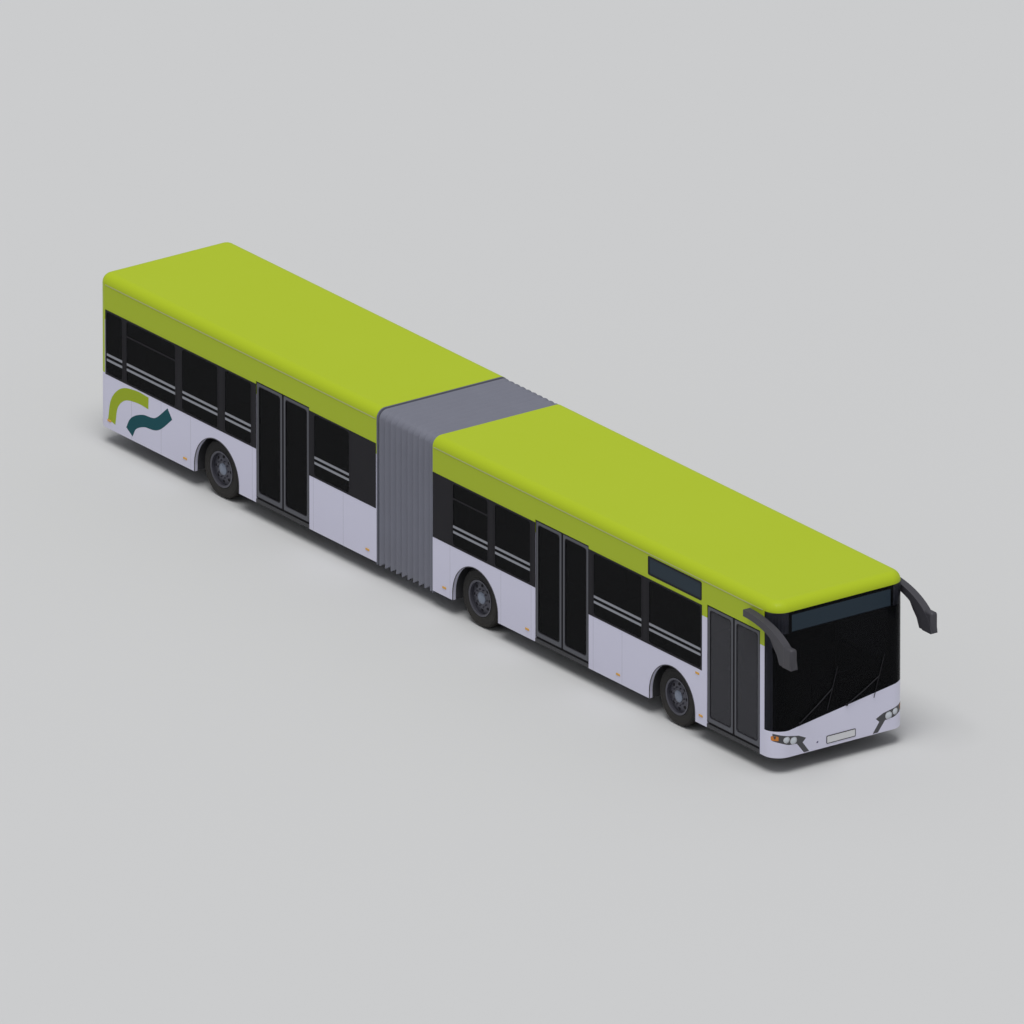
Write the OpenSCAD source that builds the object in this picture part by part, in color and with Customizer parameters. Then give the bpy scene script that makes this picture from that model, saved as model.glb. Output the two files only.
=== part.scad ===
// Articulated low-floor city bus: two stiff sections joined by a turntable and a folding bellows.
// +X points to the nose, +Y to the bus's left, Z = 0 is the ground.
// Places along the bus are given as a distance back from the nose, and at() turns one into X.

/* [Overall] */
// Length from nose to tail, without the mirrors
bus_l = 18000; // [17950:10:21600]
// Width over the side walls
body_w = 2550; // [2400:10:3060]
// Height of the roof above the ground
body_h = 2850; // [2800:10:3420]
// Thickness of the side walls, roof and end panels
wall_t = 60; // [50:1:80]

/* [Levels] */
// Height of the lower edge of the skirts
skirt_z = 280; // [240:5:300]
// Height of the floor's upper face
floor_z = 340; // [330:5:360]
// Lower edge of the side windows
window_low_z = 1185; // [1100:5:1300]
// Upper edge of the side windows
window_top_z = 2267; // [2000:1:2290]
// Height of the seam where the roof meets the walls
eave_z = 2685; // [2600:5:2700]

/* [Sections] */
// Length of the front section, from the nose to the bellows
front_l = 9010; // [9010:10:9500]
// Length of the bellows
bellows_l = 1500; // [1400:10:1800]
// Radius of the nose's two upright corners, seen from above
nose_r = 270; // [200:5:320]
// Radius of the tail's two upright corners
tail_r = 180; // [170:5:220]

/* [Doors] */
// Clear width of the front doorway
front_door_w = 1386; // [1200:1:1420]
// Clear width of the middle doorway
mid_door_w = 1413; // [1200:1:1420]
// Clear width of the rear doorway
rear_door_w = 1432; // [1200:1:1440]
// Top of the door leaves
leaf_top_z = 2310; // [2200:5:2330]
// Gap under the door leaves
leaf_lift = 25; // [15:1:40]
// Thickness of a door leaf
leaf_t = 40; // [35:1:50]
// Gap between a leaf and its door post
jamb_gap = 6; // [5:1:10]
// Gap between the two leaves of a doorway
leaf_gap = 16; // [16:1:24]
// Width of the frame around a leaf's pane
leaf_frame = 90; // [60:1:120]
// Thickness of the pane in a leaf
leaf_pane_t = 10; // [6:1:14]
// Radius of the upright column that a leaf turns on
column_r = 18; // [14:1:24]
// Radial clearance of a column in its two sockets
column_fit = 0.05; // [0.02:0.01:0.1]

/* [Wheels] */
// Outer radius of a tyre
tyre_r = 478; // [440:1:500]
// Width of a tyre
tyre_w = 275; // [240:1:300]
// Radius of the rim under the tyre
rim_r = 286; // [270:1:300]
// Gap between the tyres of a twin wheel
twin_gap = 40; // [30:1:60]
// Distance of the outer tyre's sidewall in from the side wall's face
tyre_inset = 87; // [70:1:110]
// Half the width of a wheel arch
arch_r = 600; // [590:1:640]
// Height of the crown of a wheel arch
arch_top_z = 1000; // [990:5:1060]

/* [Steering] */
// Distance of the kingpin in from the middle of the front tyre
kingpin_inset = 140; // [130:1:160]
// Radius of the kingpin
kingpin_r = 22; // [18:1:28]
// Radial clearance of the kingpin in the axle's eye
kingpin_fit = 0.05; // [0.02:0.01:0.1]
// Radius of the spindles that carry the wheels
spindle_r = 40; // [32:1:50]
// Radial clearance of a wheel's hub on its spindle
spindle_fit = 0.05; // [0.02:0.01:0.1]
// Length of a steering arm
steer_arm_l = 190; // [160:1:210]

/* [Articulation] */
// Radius of the round floor plate over the pivot
disc_r = 735; // [650:5:740]
// Radius of the pivot pin
pivot_r = 60; // [45:1:80]
// Radial clearance of the pivot pin
pivot_fit = 0.05; // [0.02:0.01:0.1]

/* [Mirrors] */
// How far the mirrors reach in front of the nose
mirror_reach = 600; // [600:1:650]
// Height of the mirror arm's root
mirror_z = 2555; // [2450:5:2600]
// Thickness of a mirror arm
mirror_t = 130; // [100:1:150]

/* [Seats] */
// Width of one passenger place
seat_w = 420; // [400:1:440]
// Depth of a seat cushion
seat_d = 420; // [380:1:450]
// Height of a seat's backrest above its cushion
seat_back_h = 620; // [500:5:700]
// Thickness of cushions and backrests
seat_t = 60; // [50:1:90]
// Height of a cushion above the floor that it stands on
seat_lift = 400; // [380:5:440]

/* [Towing and lifting] */
// Radius of the bores in the towing sockets
tow_r = 20; // [15:1:25]
// Length of a towing socket
tow_l = 90; // [70:1:110]
// Radius of the bores in the jacking sockets
jack_r = 25; // [18:1:30]
// Depth of a jacking socket
jack_l = 40; // [30:1:45]

/* [Hidden] */
$fn = 48;
e = 1; // how far a cutting shape runs past what it cuts

nose_x = (bus_l - mirror_reach) / 2;
half_w = body_w / 2;
inner_w = half_w - wall_t;
cove_r = body_h - eave_z;
function at(s) = nose_x - s;

// Stations, as distances back from the nose
front_axle_s = 2680;
middle_axle_s = 7880;
rear_axle_s = 14800;
rear_start_s = front_l + bellows_l;
pivot_s = front_l + bellows_l / 2;
front_door_s = 387;
mid_door_s = 4880;
rear_door_s = 12307;

// Window spans, each from its front edge to its rear edge
right_front_spans = [[1907, 3320], [3459, 4776], [6397, 7387], [7520, 8500]];
left_front_spans = [[1907, 3320], [3459, 4776], [4915, 6258], [6397, 7387], [7520, 8500]];
cab_span = [430, 1768];
right_rear_spans = [[11210, 12200], [13843, 14600], [14741, 15752], [15883, 17259], [17315, 17800]];
left_rear_spans = [[11210, 12200], [12340, 13700], [13843, 14600], [14741, 15752], [15883, 17259],
                   [17315, 17800]];

// Glass and the bars over it
glass_t = 10;
glass_inset = 4;
bar_z = [1430, 1520];
bar_h = 40;

// Wheels
wheel_y = half_w - tyre_inset - tyre_w / 2;
kingpin_y = wheel_y - kingpin_inset;
twin_pitch = tyre_w + twin_gap;
twin_inner_y = wheel_y - twin_pitch - tyre_w / 2;
housing_t = 12;
steer_housing_y = kingpin_y - 350;
twin_housing_y = twin_inner_y - housing_t - 12;
housing_half = arch_r + 10;

// Doors
leaf_y = half_w - 5 - leaf_t;
column_y = min(leaf_y - 40, inner_w - column_r - 7);
column_in = 30;
leaf_low_z = floor_z + leaf_lift;
doorway_top_z = leaf_top_z + 10;
header_low_z = leaf_top_z + 20;
header_h = 110;
header_w = 190;
socket_l = 40;

// Front end
screen_t = 12;
screen_low_z = 720;
screen_high_z = 1055;
front_sign_w = 1900;
front_sign_z = [2350, 2630];
side_sign = [1930, 3300];
side_sign_z = [2355, 2630];

// Articulation
plate_z = [262, 280];
pivot_plate_z = [285, 307];
disc_z = [312, 340];
pivot_w = 400;

// Engine bay
platform_s = 16300;
platform_z = 800;
deck_t = 20;

module box(x, y, z) translate([x[0], y[0], z[0]]) cube([x[1] - x[0], y[1] - y[0], z[1] - z[0]]);

// A box on the given side of the bus, side = -1 for right and 1 for left; y is taken outwards
module side_box(side, x, y, z)
  box(x, side > 0 ? y : [-y[1], -y[0]], z);

// An XZ outline given thickness between two distances from the bus's middle
module side_plate(side, y)
  translate([0, side > 0 ? y[1] : -y[0], 0]) rotate([90, 0, 0]) linear_extrude(y[1] - y[0]) children();

// A YZ outline given length from x0 to x1
module cross_plate(x)
  translate([x[0], 0, 0]) rotate([90, 0, 90]) linear_extrude(x[1] - x[0]) children();

// A cylinder along Y between two distances from the middle
module axle_rod(side, s, z, y, r)
  translate([at(s), side * y[0], z]) rotate([-90 * side, 0, 0]) cylinder(r = r, h = y[1] - y[0]);

// ---- Shapes of the two ends ----

// Plan of an end with rounded corners: the tip is at X = 0 and the plan runs back to -l
module end_plan(r, inset, l) {
  translate([-l, -(half_w - inset)]) square([l - r, 2 * (half_w - inset)]);
  translate([-l, -(half_w - r)]) square([l - inset, 2 * (half_w - r)]);
  for (side = [-1, 1]) translate([-r, side * (half_w - r)]) circle(r - inset, $fn = 96);
}

// The wrapped-round panel of an end, as deep as its corners
module end_shell(r, outer, inner, z)
  translate([0, 0, z[0]]) linear_extrude(z[1] - z[0]) intersection() {
    difference() {
      end_plan(r, outer, 3 * r);
      end_plan(r, inner, 4 * r);
    }
    translate([-r, -half_w]) square([r, body_w]);
  }

// Half of the roof's section: w is its half width, c the radius of its cove, z0 its lower edge
module cove_profile(w, c, z0)
  intersection() {
    union() {
      if (z0 < eave_z) translate([0, z0]) square([w, eave_z - z0]);
      translate([0, z0]) square([w - c, eave_z + c - z0]);
      translate([w - c, eave_z]) circle(c, $fn = 96);
    }
    translate([0, z0]) square([w, eave_z + c - z0]);
  }

// Solid upper body with its tip at X = 0: straight part, end part and two turned corners
module roof_solid(r, inset, l, z0) {
  c = cove_r - inset;
  cross_plate([-l, -r]) {
    cove_profile(half_w - inset, c, z0);
    mirror([1, 0]) cove_profile(half_w - inset, c, z0);
  }
  translate([-r, half_w - r, 0]) rotate([90, 0, 0]) linear_extrude(body_w - 2 * r)
    cove_profile(r - inset, c, z0);
  for (side = [0, 1])
    mirror([0, side, 0]) translate([-r, half_w - r, 0]) rotate_extrude(angle = 90, $fn = 96)
      cove_profile(r - inset, c, z0);
}

module roof_shell(r, l)
  difference() {
    roof_solid(r, 0, l, eave_z);
    roof_solid(r, wall_t, l + e, eave_z - e);
  }

// ---- Side walls ----

module arch_outline(s) {
  translate([at(s) - arch_r, 0]) square([2 * arch_r, arch_top_z - arch_r]);
  translate([at(s), arch_top_z - arch_r]) circle(arch_r, $fn = 96);
}

module wall_panel(side, s, windows, doors, axles)
  side_plate(side, [inner_w, half_w]) difference() {
    translate([at(s[1]), skirt_z]) square([s[1] - s[0], eave_z - skirt_z]);
    for (w = windows)
      translate([at(w[1]), window_low_z]) square([w[1] - w[0], window_top_z - window_low_z]);
    for (d = doors) translate([at(d[0] + d[1]), 0]) square([d[1], doorway_top_z]);
    for (a = axles) arch_outline(a);
  }

// The two places of a doorway's columns, as distances back from the nose
function column_s(door) = [door[0] + column_in, door[0] + door[1] - column_in];

// Door gear cover over a doorway, with the upper sockets of the columns
module door_header(door) {
  difference() {
    side_box(-1, [at(door[0] + door[1]), at(door[0])], [inner_w - header_w, inner_w],
             [header_low_z, header_low_z + header_h]);
    for (s = column_s(door))
      translate([at(s), -column_y, header_low_z - e]) cylinder(r = column_r + column_fit, h = socket_l + e);
  }
}

front_door = [front_door_s, front_door_w];
mid_door = [mid_door_s, mid_door_w];
rear_door = [rear_door_s, rear_door_w];

module front_right_wall() color([0.8, 0.8, 0.86]) {
  difference() {
    wall_panel(-1, [nose_r, front_l], right_front_spans, [front_door, mid_door],
               [front_axle_s, middle_axle_s]);
    side_box(-1, [at(side_sign[1]), at(side_sign[0])], [half_w - 20, half_w + e], side_sign_z);
  }
  door_header(front_door);
  door_header(mid_door);
}

module front_left_wall() color([0.8, 0.8, 0.86])
  difference() {
    wall_panel(1, [nose_r, front_l], concat([cab_span], left_front_spans), [],
               [front_axle_s, middle_axle_s]);
    side_box(1, [at(side_sign[1]), at(side_sign[0])], [half_w - 20, half_w + e], side_sign_z);
  }

module rear_right_wall() color([0.8, 0.8, 0.86]) {
  wall_panel(-1, [rear_start_s, bus_l - tail_r], right_rear_spans, [rear_door], [rear_axle_s]);
  door_header(rear_door);
}

module rear_left_wall() color([0.8, 0.8, 0.86])
  wall_panel(1, [rear_start_s, bus_l - tail_r], left_rear_spans, [], [rear_axle_s]);

module front_roof() color([0.68, 0.76, 0.16])
  translate([nose_x, 0, 0]) roof_shell(nose_r, front_l);

module rear_roof() color([0.68, 0.76, 0.16])
  translate([at(bus_l), 0, 0]) mirror([1, 0, 0]) roof_shell(tail_r, bus_l - rear_start_s);

module panes(side, spans)
  for (w = spans)
    side_box(side, [at(w[1]), at(w[0])], [half_w - glass_inset - glass_t, half_w - glass_inset],
             [window_low_z, window_top_z]);

module bars(side, spans)
  for (w = spans)
    for (z = bar_z)
      side_box(side, [at(w[1]), at(w[0])], [half_w - glass_inset, half_w], [z - bar_h / 2, z + bar_h / 2]);

module front_windows() color([0.08, 0.09, 0.1, 0.6]) {
  panes(-1, right_front_spans);
  panes(1, concat([cab_span], left_front_spans));
}

module front_window_bars() color([0.5, 0.5, 0.55]) {
  bars(-1, right_front_spans);
  bars(1, left_front_spans);
}

module rear_windows() color([0.08, 0.09, 0.1, 0.6]) {
  panes(-1, right_rear_spans);
  panes(1, left_rear_spans);
  at_tail() box([-glass_inset - glass_t, -glass_inset], [-rear_glass_y, rear_glass_y], rear_glass_z);
}

module rear_window_bars() color([0.5, 0.5, 0.55]) {
  bars(-1, right_rear_spans);
  bars(1, left_rear_spans);
}

// ---- Nose ----

// The glazed area of the nose: its lower edge climbs from the bus's right to its left
module screen_outline()
  polygon([[-half_w, screen_low_z], [-(half_w - nose_r), screen_low_z], [half_w - nose_r / 4, screen_high_z],
           [half_w, screen_high_z], [half_w, eave_z], [-half_w, eave_z]]);

// Angular lamp cluster with an arm that slants down to the skirt, for the bus's left
module lamp_outline()
  polygon([[half_w - 45, 684], [half_w - 270, 630], [half_w - 462, 594], [half_w - 605, 528],
           [half_w - 539, 465], [half_w - 665, skirt_z + 12], [half_w - 564, skirt_z + 12],
           [half_w - 425, 468], [half_w - 270, 481], [half_w - 45, 559]]);

module lamp_block(grow, depth)
  intersection() {
    end_shell(nose_r, -grow, depth, [skirt_z, eave_z]);
    cross_plate([-nose_r, e]) {
      lamp_outline();
      mirror([1, 0]) lamp_outline();
    }
  }

lamp_depth = 40;
header_beam_z = 2330;
post_depth = 130;
tow_y = 450;
tow_z = 400;

// Boss with a through bore along X: its mouth is at X = 0 and it runs back along -X
module tow_socket()
  translate([-tow_l, -tow_y, tow_z]) rotate([0, 90, 0]) cylinder(r = 2 * tow_r, h = tow_l);

module tow_bore()
  translate([-tow_l - e, -tow_y, tow_z]) rotate([0, 90, 0]) cylinder(r = tow_r, h = tow_l + 2 * e);

module front_mask() color([0.8, 0.8, 0.86])
  translate([nose_x, 0, 0]) difference() {
    union() {
      difference() {
        end_shell(nose_r, 0, wall_t, [skirt_z, eave_z]);
        cross_plate([-nose_r - e, e]) screen_outline();
      }
      difference() {
        end_shell(nose_r, screen_t, wall_t, [screen_low_z - 60, eave_z]);
        intersection() {
          cross_plate([-post_depth, e]) screen_outline();
          box([-post_depth, e], [-half_w, half_w], [0, header_beam_z]);
        }
      }
      tow_socket();
    }
    lamp_block(e, lamp_depth);
    tow_bore();
  }

module sign_cut(grow)
  box([-2 * screen_t, grow], [-front_sign_w / 2, front_sign_w / 2], front_sign_z);

module windscreen() color([0.06, 0.06, 0.07, 0.7])
  translate([nose_x, 0, 0]) difference() {
    intersection() {
      end_shell(nose_r, 0, screen_t, [screen_low_z, eave_z]);
      cross_plate([-nose_r, e]) screen_outline();
    }
    sign_cut(e);
  }

module headlights() color([0.27, 0.27, 0.29])
  translate([nose_x, 0, 0]) lamp_block(0, lamp_depth);

module route_signs() color([0.18, 0.23, 0.27]) {
  translate([nose_x, 0, 0])
    box([-screen_t, -2], [-front_sign_w / 2, front_sign_w / 2], front_sign_z);
  for (side = [-1, 1])
    side_box(side, [at(side_sign[1]), at(side_sign[0])], [half_w - 20, half_w - 2], side_sign_z);
}

// ---- Mirrors: a curved arm that droops in front of the nose, and the head that hangs under it ----

mirror_root_s = 650;
mirror_drop = 635;
arm_steps = 20;
arm_reach = mirror_root_s + mirror_reach;
function arc_point(a, b, t) = [a * sin(t), b * cos(t)];

module arm_outline() {
  steps = [for (i = [0:arm_steps]) 90 * i / arm_steps];
  polygon(concat([for (t = steps) arc_point(arm_reach, mirror_drop, t)],
                 [for (i = [arm_steps:-1:0]) arc_point(arm_reach - 230, mirror_drop - 110, steps[i])]));
}

// Filled between the arm's inner edge and a slack curve across it
module head_outline() {
  steps = [for (i = [0:arm_steps]) 38 + 52 * i / arm_steps];
  polygon(concat([for (t = steps) arc_point(arm_reach - 220, mirror_drop - 100, t)],
                 [[arm_reach - 330, 0], [arm_reach - 400, 150], [arm_reach - 500, 260]]));
}

module mirrors() color([0.27, 0.27, 0.29])
  for (side = [-1, 1]) {
    translate([at(mirror_root_s), 0, mirror_z + 65 - mirror_drop]) {
      side_plate(side, [half_w + 5, half_w + 5 + mirror_t]) arm_outline();
      side_plate(side, [half_w + 25, half_w - 15 + mirror_t]) head_outline();
    }
    side_box(side, [at(mirror_root_s), at(mirror_root_s - 180)], [half_w, half_w + 15],
             [mirror_z - 40, mirror_z + 40]);
  }

// ---- Floors ----

rail_y = [350, 430];
rail_z = [200, skirt_z];

module housing_block(side, s, y)
  side_box(side, [at(s) - housing_half - housing_t, at(s) + housing_half + housing_t], [y, inner_w],
           [skirt_z, arch_top_z + 10 + housing_t]);

module housing(side, s, y)
  difference() {
    housing_block(side, s, y);
    side_box(side, [at(s) - housing_half, at(s) + housing_half], [y + housing_t, inner_w + e],
             [skirt_z - e, arch_top_z + 10]);
  }

module sill(door)
  side_box(-1, [at(door[0] + door[1]), at(door[0])], [inner_w - e, half_w], [skirt_z, floor_z]);

module floor_sockets(door)
  for (s = column_s(door))
    translate([at(s), -column_y, floor_z - socket_l]) cylinder(r = column_r + column_fit, h = socket_l + e);

module rails(spans)
  for (side = [-1, 1])
    for (span = spans) side_box(side, [at(span[1]), at(span[0])], rail_y, rail_z);

module jack_bores(s)
  for (side = [-1, 1])
    translate([at(s), side * (rail_y[0] + rail_y[1]) / 2, rail_z[0] - e]) cylinder(r = jack_r, h = jack_l + e);

front_jack_s = 3900;
rear_jack_s = 13900;

module front_floor() color([0.35, 0.35, 0.37])
  difference() {
    union() {
      difference() {
        translate([nose_x, 0, skirt_z]) linear_extrude(floor_z - skirt_z) end_plan(nose_r, wall_t, front_l);
        for (side = [-1, 1]) {
          housing_block(side, front_axle_s, steer_housing_y);
          housing_block(side, middle_axle_s, twin_housing_y);
        }
      }
      for (side = [-1, 1]) {
        housing(side, front_axle_s, steer_housing_y);
        housing(side, middle_axle_s, twin_housing_y);
      }
      sill(front_door);
      sill(mid_door);
      rails([[500, front_axle_s - 250], [front_axle_s + 250, middle_axle_s - 250],
             [middle_axle_s + 250, front_l - 60]]);
    }
    floor_sockets(front_door);
    floor_sockets(mid_door);
    jack_bores(front_jack_s);
  }

module rear_floor() color([0.35, 0.35, 0.37])
  difference() {
    union() {
      difference() {
        box([at(platform_s), at(rear_start_s)], [-inner_w, inner_w], [skirt_z, floor_z]);
        for (side = [-1, 1]) housing_block(side, rear_axle_s, twin_housing_y);
      }
      for (side = [-1, 1]) housing(side, rear_axle_s, twin_housing_y);
      sill(rear_door);
      rails([[rear_start_s + 60, rear_axle_s - 250], [rear_axle_s + 250, platform_s]]);
    }
    floor_sockets(rear_door);
    jack_bores(rear_jack_s);
  }

// ---- Axles ----

beam_z = [165, 265];
boss_r = 48;
boss_half = 80;

module front_axle() color([0.2, 0.2, 0.21])
  translate([at(front_axle_s), 0, 0]) {
    box([-60, 60], [-(kingpin_y - 90), kingpin_y - 90], beam_z);
    for (side = [-1, 1]) {
      side_box(side, [-50, 50], [380, 480], [beam_z[1] - e, skirt_z]);
      difference() {
        union() {
          side_box(side, [-60, 60], [kingpin_y - 170, kingpin_y - 90], [beam_z[0], tyre_r + 60]);
          side_box(side, [-40, 40], [kingpin_y - 100, kingpin_y], [tyre_r - 60, tyre_r + 60]);
          translate([0, side * kingpin_y, tyre_r - boss_half]) cylinder(r = boss_r, h = 2 * boss_half);
        }
        translate([0, side * kingpin_y, 0]) cylinder(r = kingpin_r + kingpin_fit, h = 2 * tyre_r);
      }
    }
  }

// Dropped axle for twin wheels: the beam runs under the floor and gear cases carry the spindles
module twin_axle(s) color([0.2, 0.2, 0.21]) {
  box([at(s) - 90, at(s) + 90], [-(twin_housing_y - 15), twin_housing_y - 15], [150, 270]);
  for (side = [-1, 1]) {
    side_box(side, [at(s) - 60, at(s) + 60], [twin_housing_y - 30, twin_inner_y + 3], [232, 272]);
    side_box(side, [at(s) - 60, at(s) + 60], [twin_inner_y + 3, twin_inner_y + 100], [232, tyre_r]);
    side_box(side, [at(s) - 50, at(s) + 50], [400, 500], [270 - e, skirt_z]);
    axle_rod(side, s, tyre_r, [twin_inner_y + 3, twin_inner_y + 100], 200);
    axle_rod(side, s, tyre_r, [twin_inner_y + 99, wheel_y + 90], spindle_r);
  }
}

module middle_axle() twin_axle(middle_axle_s);
module rear_axle() twin_axle(rear_axle_s);

// ---- Steering knuckles ----

module knuckle(side) color([0.25, 0.25, 0.26])
  translate([at(front_axle_s), 0, 0]) {
    translate([0, side * kingpin_y, tyre_r - boss_half - 30]) cylinder(r = kingpin_r, h = 2 * boss_half + 60);
    for (up = [-1, 1]) {
      z = tyre_r + up * (boss_half + 17);
      translate([0, side * kingpin_y, z - 14]) cylinder(r = 56, h = 28);
      side_box(side, [-45, 45], [kingpin_y, kingpin_y + 86], [z - 14, z + 14]);
    }
    side_box(side, [-45, 45], [kingpin_y + 56, kingpin_y + 86],
             [tyre_r - boss_half - 31, tyre_r + boss_half + 31]);
    side_box(side, [-steer_arm_l, 0], [kingpin_y - 15, kingpin_y + 12],
             [tyre_r - boss_half - 31, tyre_r - boss_half - 3]);
    translate([0, side * (kingpin_y + 85), tyre_r]) rotate([-90 * side, 0, 0])
      cylinder(r = spindle_r, h = kingpin_inset + 5);
  }

module left_knuckle() knuckle(1);
module right_knuckle() knuckle(-1);

// ---- Wheels, turned about an axis that points outboard from the middle of the outer tyre ----

module at_wheel(side, s)
  translate([at(s), side * wheel_y, tyre_r]) rotate([-90 * side, 0, 0]) children();

module tyre_ring(t) {
  h = tyre_w / 2;
  translate([0, 0, t]) rotate_extrude($fn = 96)
    polygon([[rim_r, -h + 22], [rim_r + 14, -h + 5], [rim_r + 60, -h], [tyre_r - 60, -h], [tyre_r - 18, -h + 14],
             [tyre_r, -h + 40], [tyre_r, h - 40], [tyre_r - 18, h - 14], [tyre_r - 60, h], [rim_r + 60, h],
             [rim_r + 14, h - 5], [rim_r, h - 22]]);
}

module tyres(side, s, twin) color([0.12, 0.12, 0.13])
  at_wheel(side, s) {
    tyre_ring(0);
    if (twin) tyre_ring(-twin_pitch);
  }

hub_r = 90;
barrel_t = 20;
function barrel(t0, t1) = [[rim_r - barrel_t, t0], [rim_r, t0], [rim_r, t1], [rim_r - barrel_t, t1]];

module rims(side, s, twin) color([0.4, 0.4, 0.45])
  at_wheel(side, s) rotate_extrude($fn = 96) {
    polygon(barrel(-tyre_w / 2 + 15, tyre_w / 2 - 8));
    polygon([[hub_r - e, 75], [rim_r - barrel_t + e, 45], [rim_r - barrel_t + e, 65], [hub_r - e, 95]]);
    if (twin) {
      polygon(barrel(-twin_pitch - tyre_w / 2 + 8, -twin_pitch + tyre_w / 2 - 15));
      translate([hub_r - e, -twin_pitch + 60]) square([rim_r - hub_r, 20]);
    }
    hub_back = twin ? -twin_pitch + 55 : -40;
    translate([spindle_r + spindle_fit, hub_back]) square([hub_r - spindle_r - spindle_fit, 100 - hub_back]);
    translate([0, 99]) square([hub_r - 8, 16]);
  }

module front_right_tyre() tyres(-1, front_axle_s, false);
module front_left_tyre() tyres(1, front_axle_s, false);
module middle_right_tyres() tyres(-1, middle_axle_s, true);
module middle_left_tyres() tyres(1, middle_axle_s, true);
module rear_right_tyres() tyres(-1, rear_axle_s, true);
module rear_left_tyres() tyres(1, rear_axle_s, true);
module front_right_rim() rims(-1, front_axle_s, false);
module front_left_rim() rims(1, front_axle_s, false);
module middle_right_rims() rims(-1, middle_axle_s, true);
module middle_left_rims() rims(1, middle_axle_s, true);
module rear_right_rims() rims(-1, rear_axle_s, true);
module rear_left_rims() rims(1, rear_axle_s, true);

// ---- Door leaves ----

arm_z = [500, 1350, 2150];

module leaf(door, fore) color([0.33, 0.34, 0.37]) {
  leaf_w = (door[1] - 2 * jamb_gap - leaf_gap) / 2;
  s0 = fore ? door[0] + jamb_gap : door[0] + door[1] - jamb_gap - leaf_w;
  column_at = column_s(door)[fore ? 0 : 1];
  pane_y = leaf_y + leaf_t / 2;
  difference() {
    side_box(-1, [at(s0 + leaf_w), at(s0)], [leaf_y, leaf_y + leaf_t], [leaf_low_z, leaf_top_z]);
    for (y = [[leaf_y - e, pane_y - leaf_pane_t / 2], [pane_y + leaf_pane_t / 2, leaf_y + leaf_t + e]])
      side_box(-1, [at(s0 + leaf_w - leaf_frame), at(s0 + leaf_frame)], y,
               [leaf_low_z + leaf_frame, leaf_top_z - leaf_frame]);
  }
  for (z = arm_z)
    side_box(-1, [at(column_at) - 12, at(column_at) + 12], [column_y, leaf_y + e], [z - 30, z + 30]);
  translate([at(column_at), -column_y, floor_z - socket_l + 2])
    cylinder(r = column_r, h = header_low_z - floor_z + 2 * socket_l - 4);
}

module front_door_fore_leaf() leaf(front_door, true);
module front_door_aft_leaf() leaf(front_door, false);
module mid_door_fore_leaf() leaf(mid_door, true);
module mid_door_aft_leaf() leaf(mid_door, false);
module rear_door_fore_leaf() leaf(rear_door, true);
module rear_door_aft_leaf() leaf(rear_door, false);

// ---- Articulation ----

bellows_low_z = 235;
rib_count = 10;
rib_pitch = bellows_l / rib_count;

module bellows_outline(inset) {
  translate([-(half_w - inset), bellows_low_z + inset]) square([2 * (half_w - inset), eave_z - bellows_low_z - inset]);
  translate([-(half_w - cove_r), bellows_low_z + inset])
    square([2 * (half_w - cove_r), body_h - bellows_low_z - 2 * inset]);
  for (side = [-1, 1]) translate([side * (half_w - cove_r), eave_z]) circle(cove_r - inset, $fn = 64);
}

module bellows_ring(x, outer, inner)
  cross_plate(x) difference() {
    bellows_outline(outer);
    bellows_outline(inner);
  }

module bellows() color([0.42, 0.43, 0.47]) {
  bellows_ring([at(rear_start_s), at(front_l)], 8, 20);
  for (i = [0:rib_count - 1])
    translate([at(front_l) - (i + 0.5) * rib_pitch, 0, 0]) bellows_ring([-20, 20], 0, 20);
}

module turntable() color([0.22, 0.22, 0.23]) {
  box([at(pivot_s), at(front_l)], [-pivot_w, pivot_w], plate_z);
  translate([at(pivot_s), 0, plate_z[0]]) cylinder(r = pivot_w, h = plate_z[1] - plate_z[0], $fn = 96);
  translate([at(pivot_s), 0, plate_z[0]]) cylinder(r = pivot_r, h = disc_z[1] - plate_z[0]);
  translate([at(pivot_s), 0, disc_z[0]]) cylinder(r = disc_r, h = disc_z[1] - disc_z[0], $fn = 120);
}

module pivot_frame() color([0.22, 0.22, 0.23])
  difference() {
    union() {
      box([at(rear_start_s), at(pivot_s)], [-pivot_w, pivot_w], pivot_plate_z);
      translate([at(pivot_s), 0, pivot_plate_z[0]])
        cylinder(r = pivot_w, h = pivot_plate_z[1] - pivot_plate_z[0], $fn = 96);
    }
    translate([at(pivot_s), 0, 0]) cylinder(r = pivot_r + pivot_fit, h = floor_z);
  }

// ---- Tail ----

rear_glass_y = 900;
rear_glass_z = [1300, 2240];
tail_lamp_y = [1010, 1100];
tail_lamp_z = [[700, 1130], [2330, 2480]];
undercut = 130;

module at_tail() translate([at(bus_l), 0, 0]) mirror([1, 0, 0]) children();

module tail() color([0.8, 0.8, 0.86])
  at_tail() difference() {
    union() {
      end_shell(tail_r, 0, wall_t, [skirt_z, eave_z]);
      tow_socket();
    }
    box([-wall_t - e, e], [-rear_glass_y, rear_glass_y], rear_glass_z);
    for (side = [-1, 1])
      for (z = tail_lamp_z) side_box(side, [-30, e], tail_lamp_y, z);
    tow_bore();
    translate([0, half_w + e, 0]) rotate([90, 0, 0]) linear_extrude(body_w + 2 * e)
      polygon([[-undercut, skirt_z - e], [e, skirt_z - e], [e, skirt_z + undercut]]);
  }

module tail_lamps() color([0.6, 0.1, 0.08])
  at_tail()
    for (side = [-1, 1])
      for (z = tail_lamp_z) side_box(side, [-30, -2], tail_lamp_y, z);

// Raised deck over the engine bay, with the bulkhead at its front
module engine_deck() color([0.35, 0.35, 0.37]) {
  box([at(platform_s + deck_t), at(platform_s)], [-inner_w, inner_w], [skirt_z, platform_z]);
  box([at(bus_l - tail_r), at(platform_s)], [-inner_w, inner_w], [platform_z - deck_t, platform_z]);
  box([at(bus_l - wall_t), at(platform_s)], [tail_r - inner_w, inner_w - tail_r],
      [platform_z - deck_t, platform_z]);
}

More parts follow.
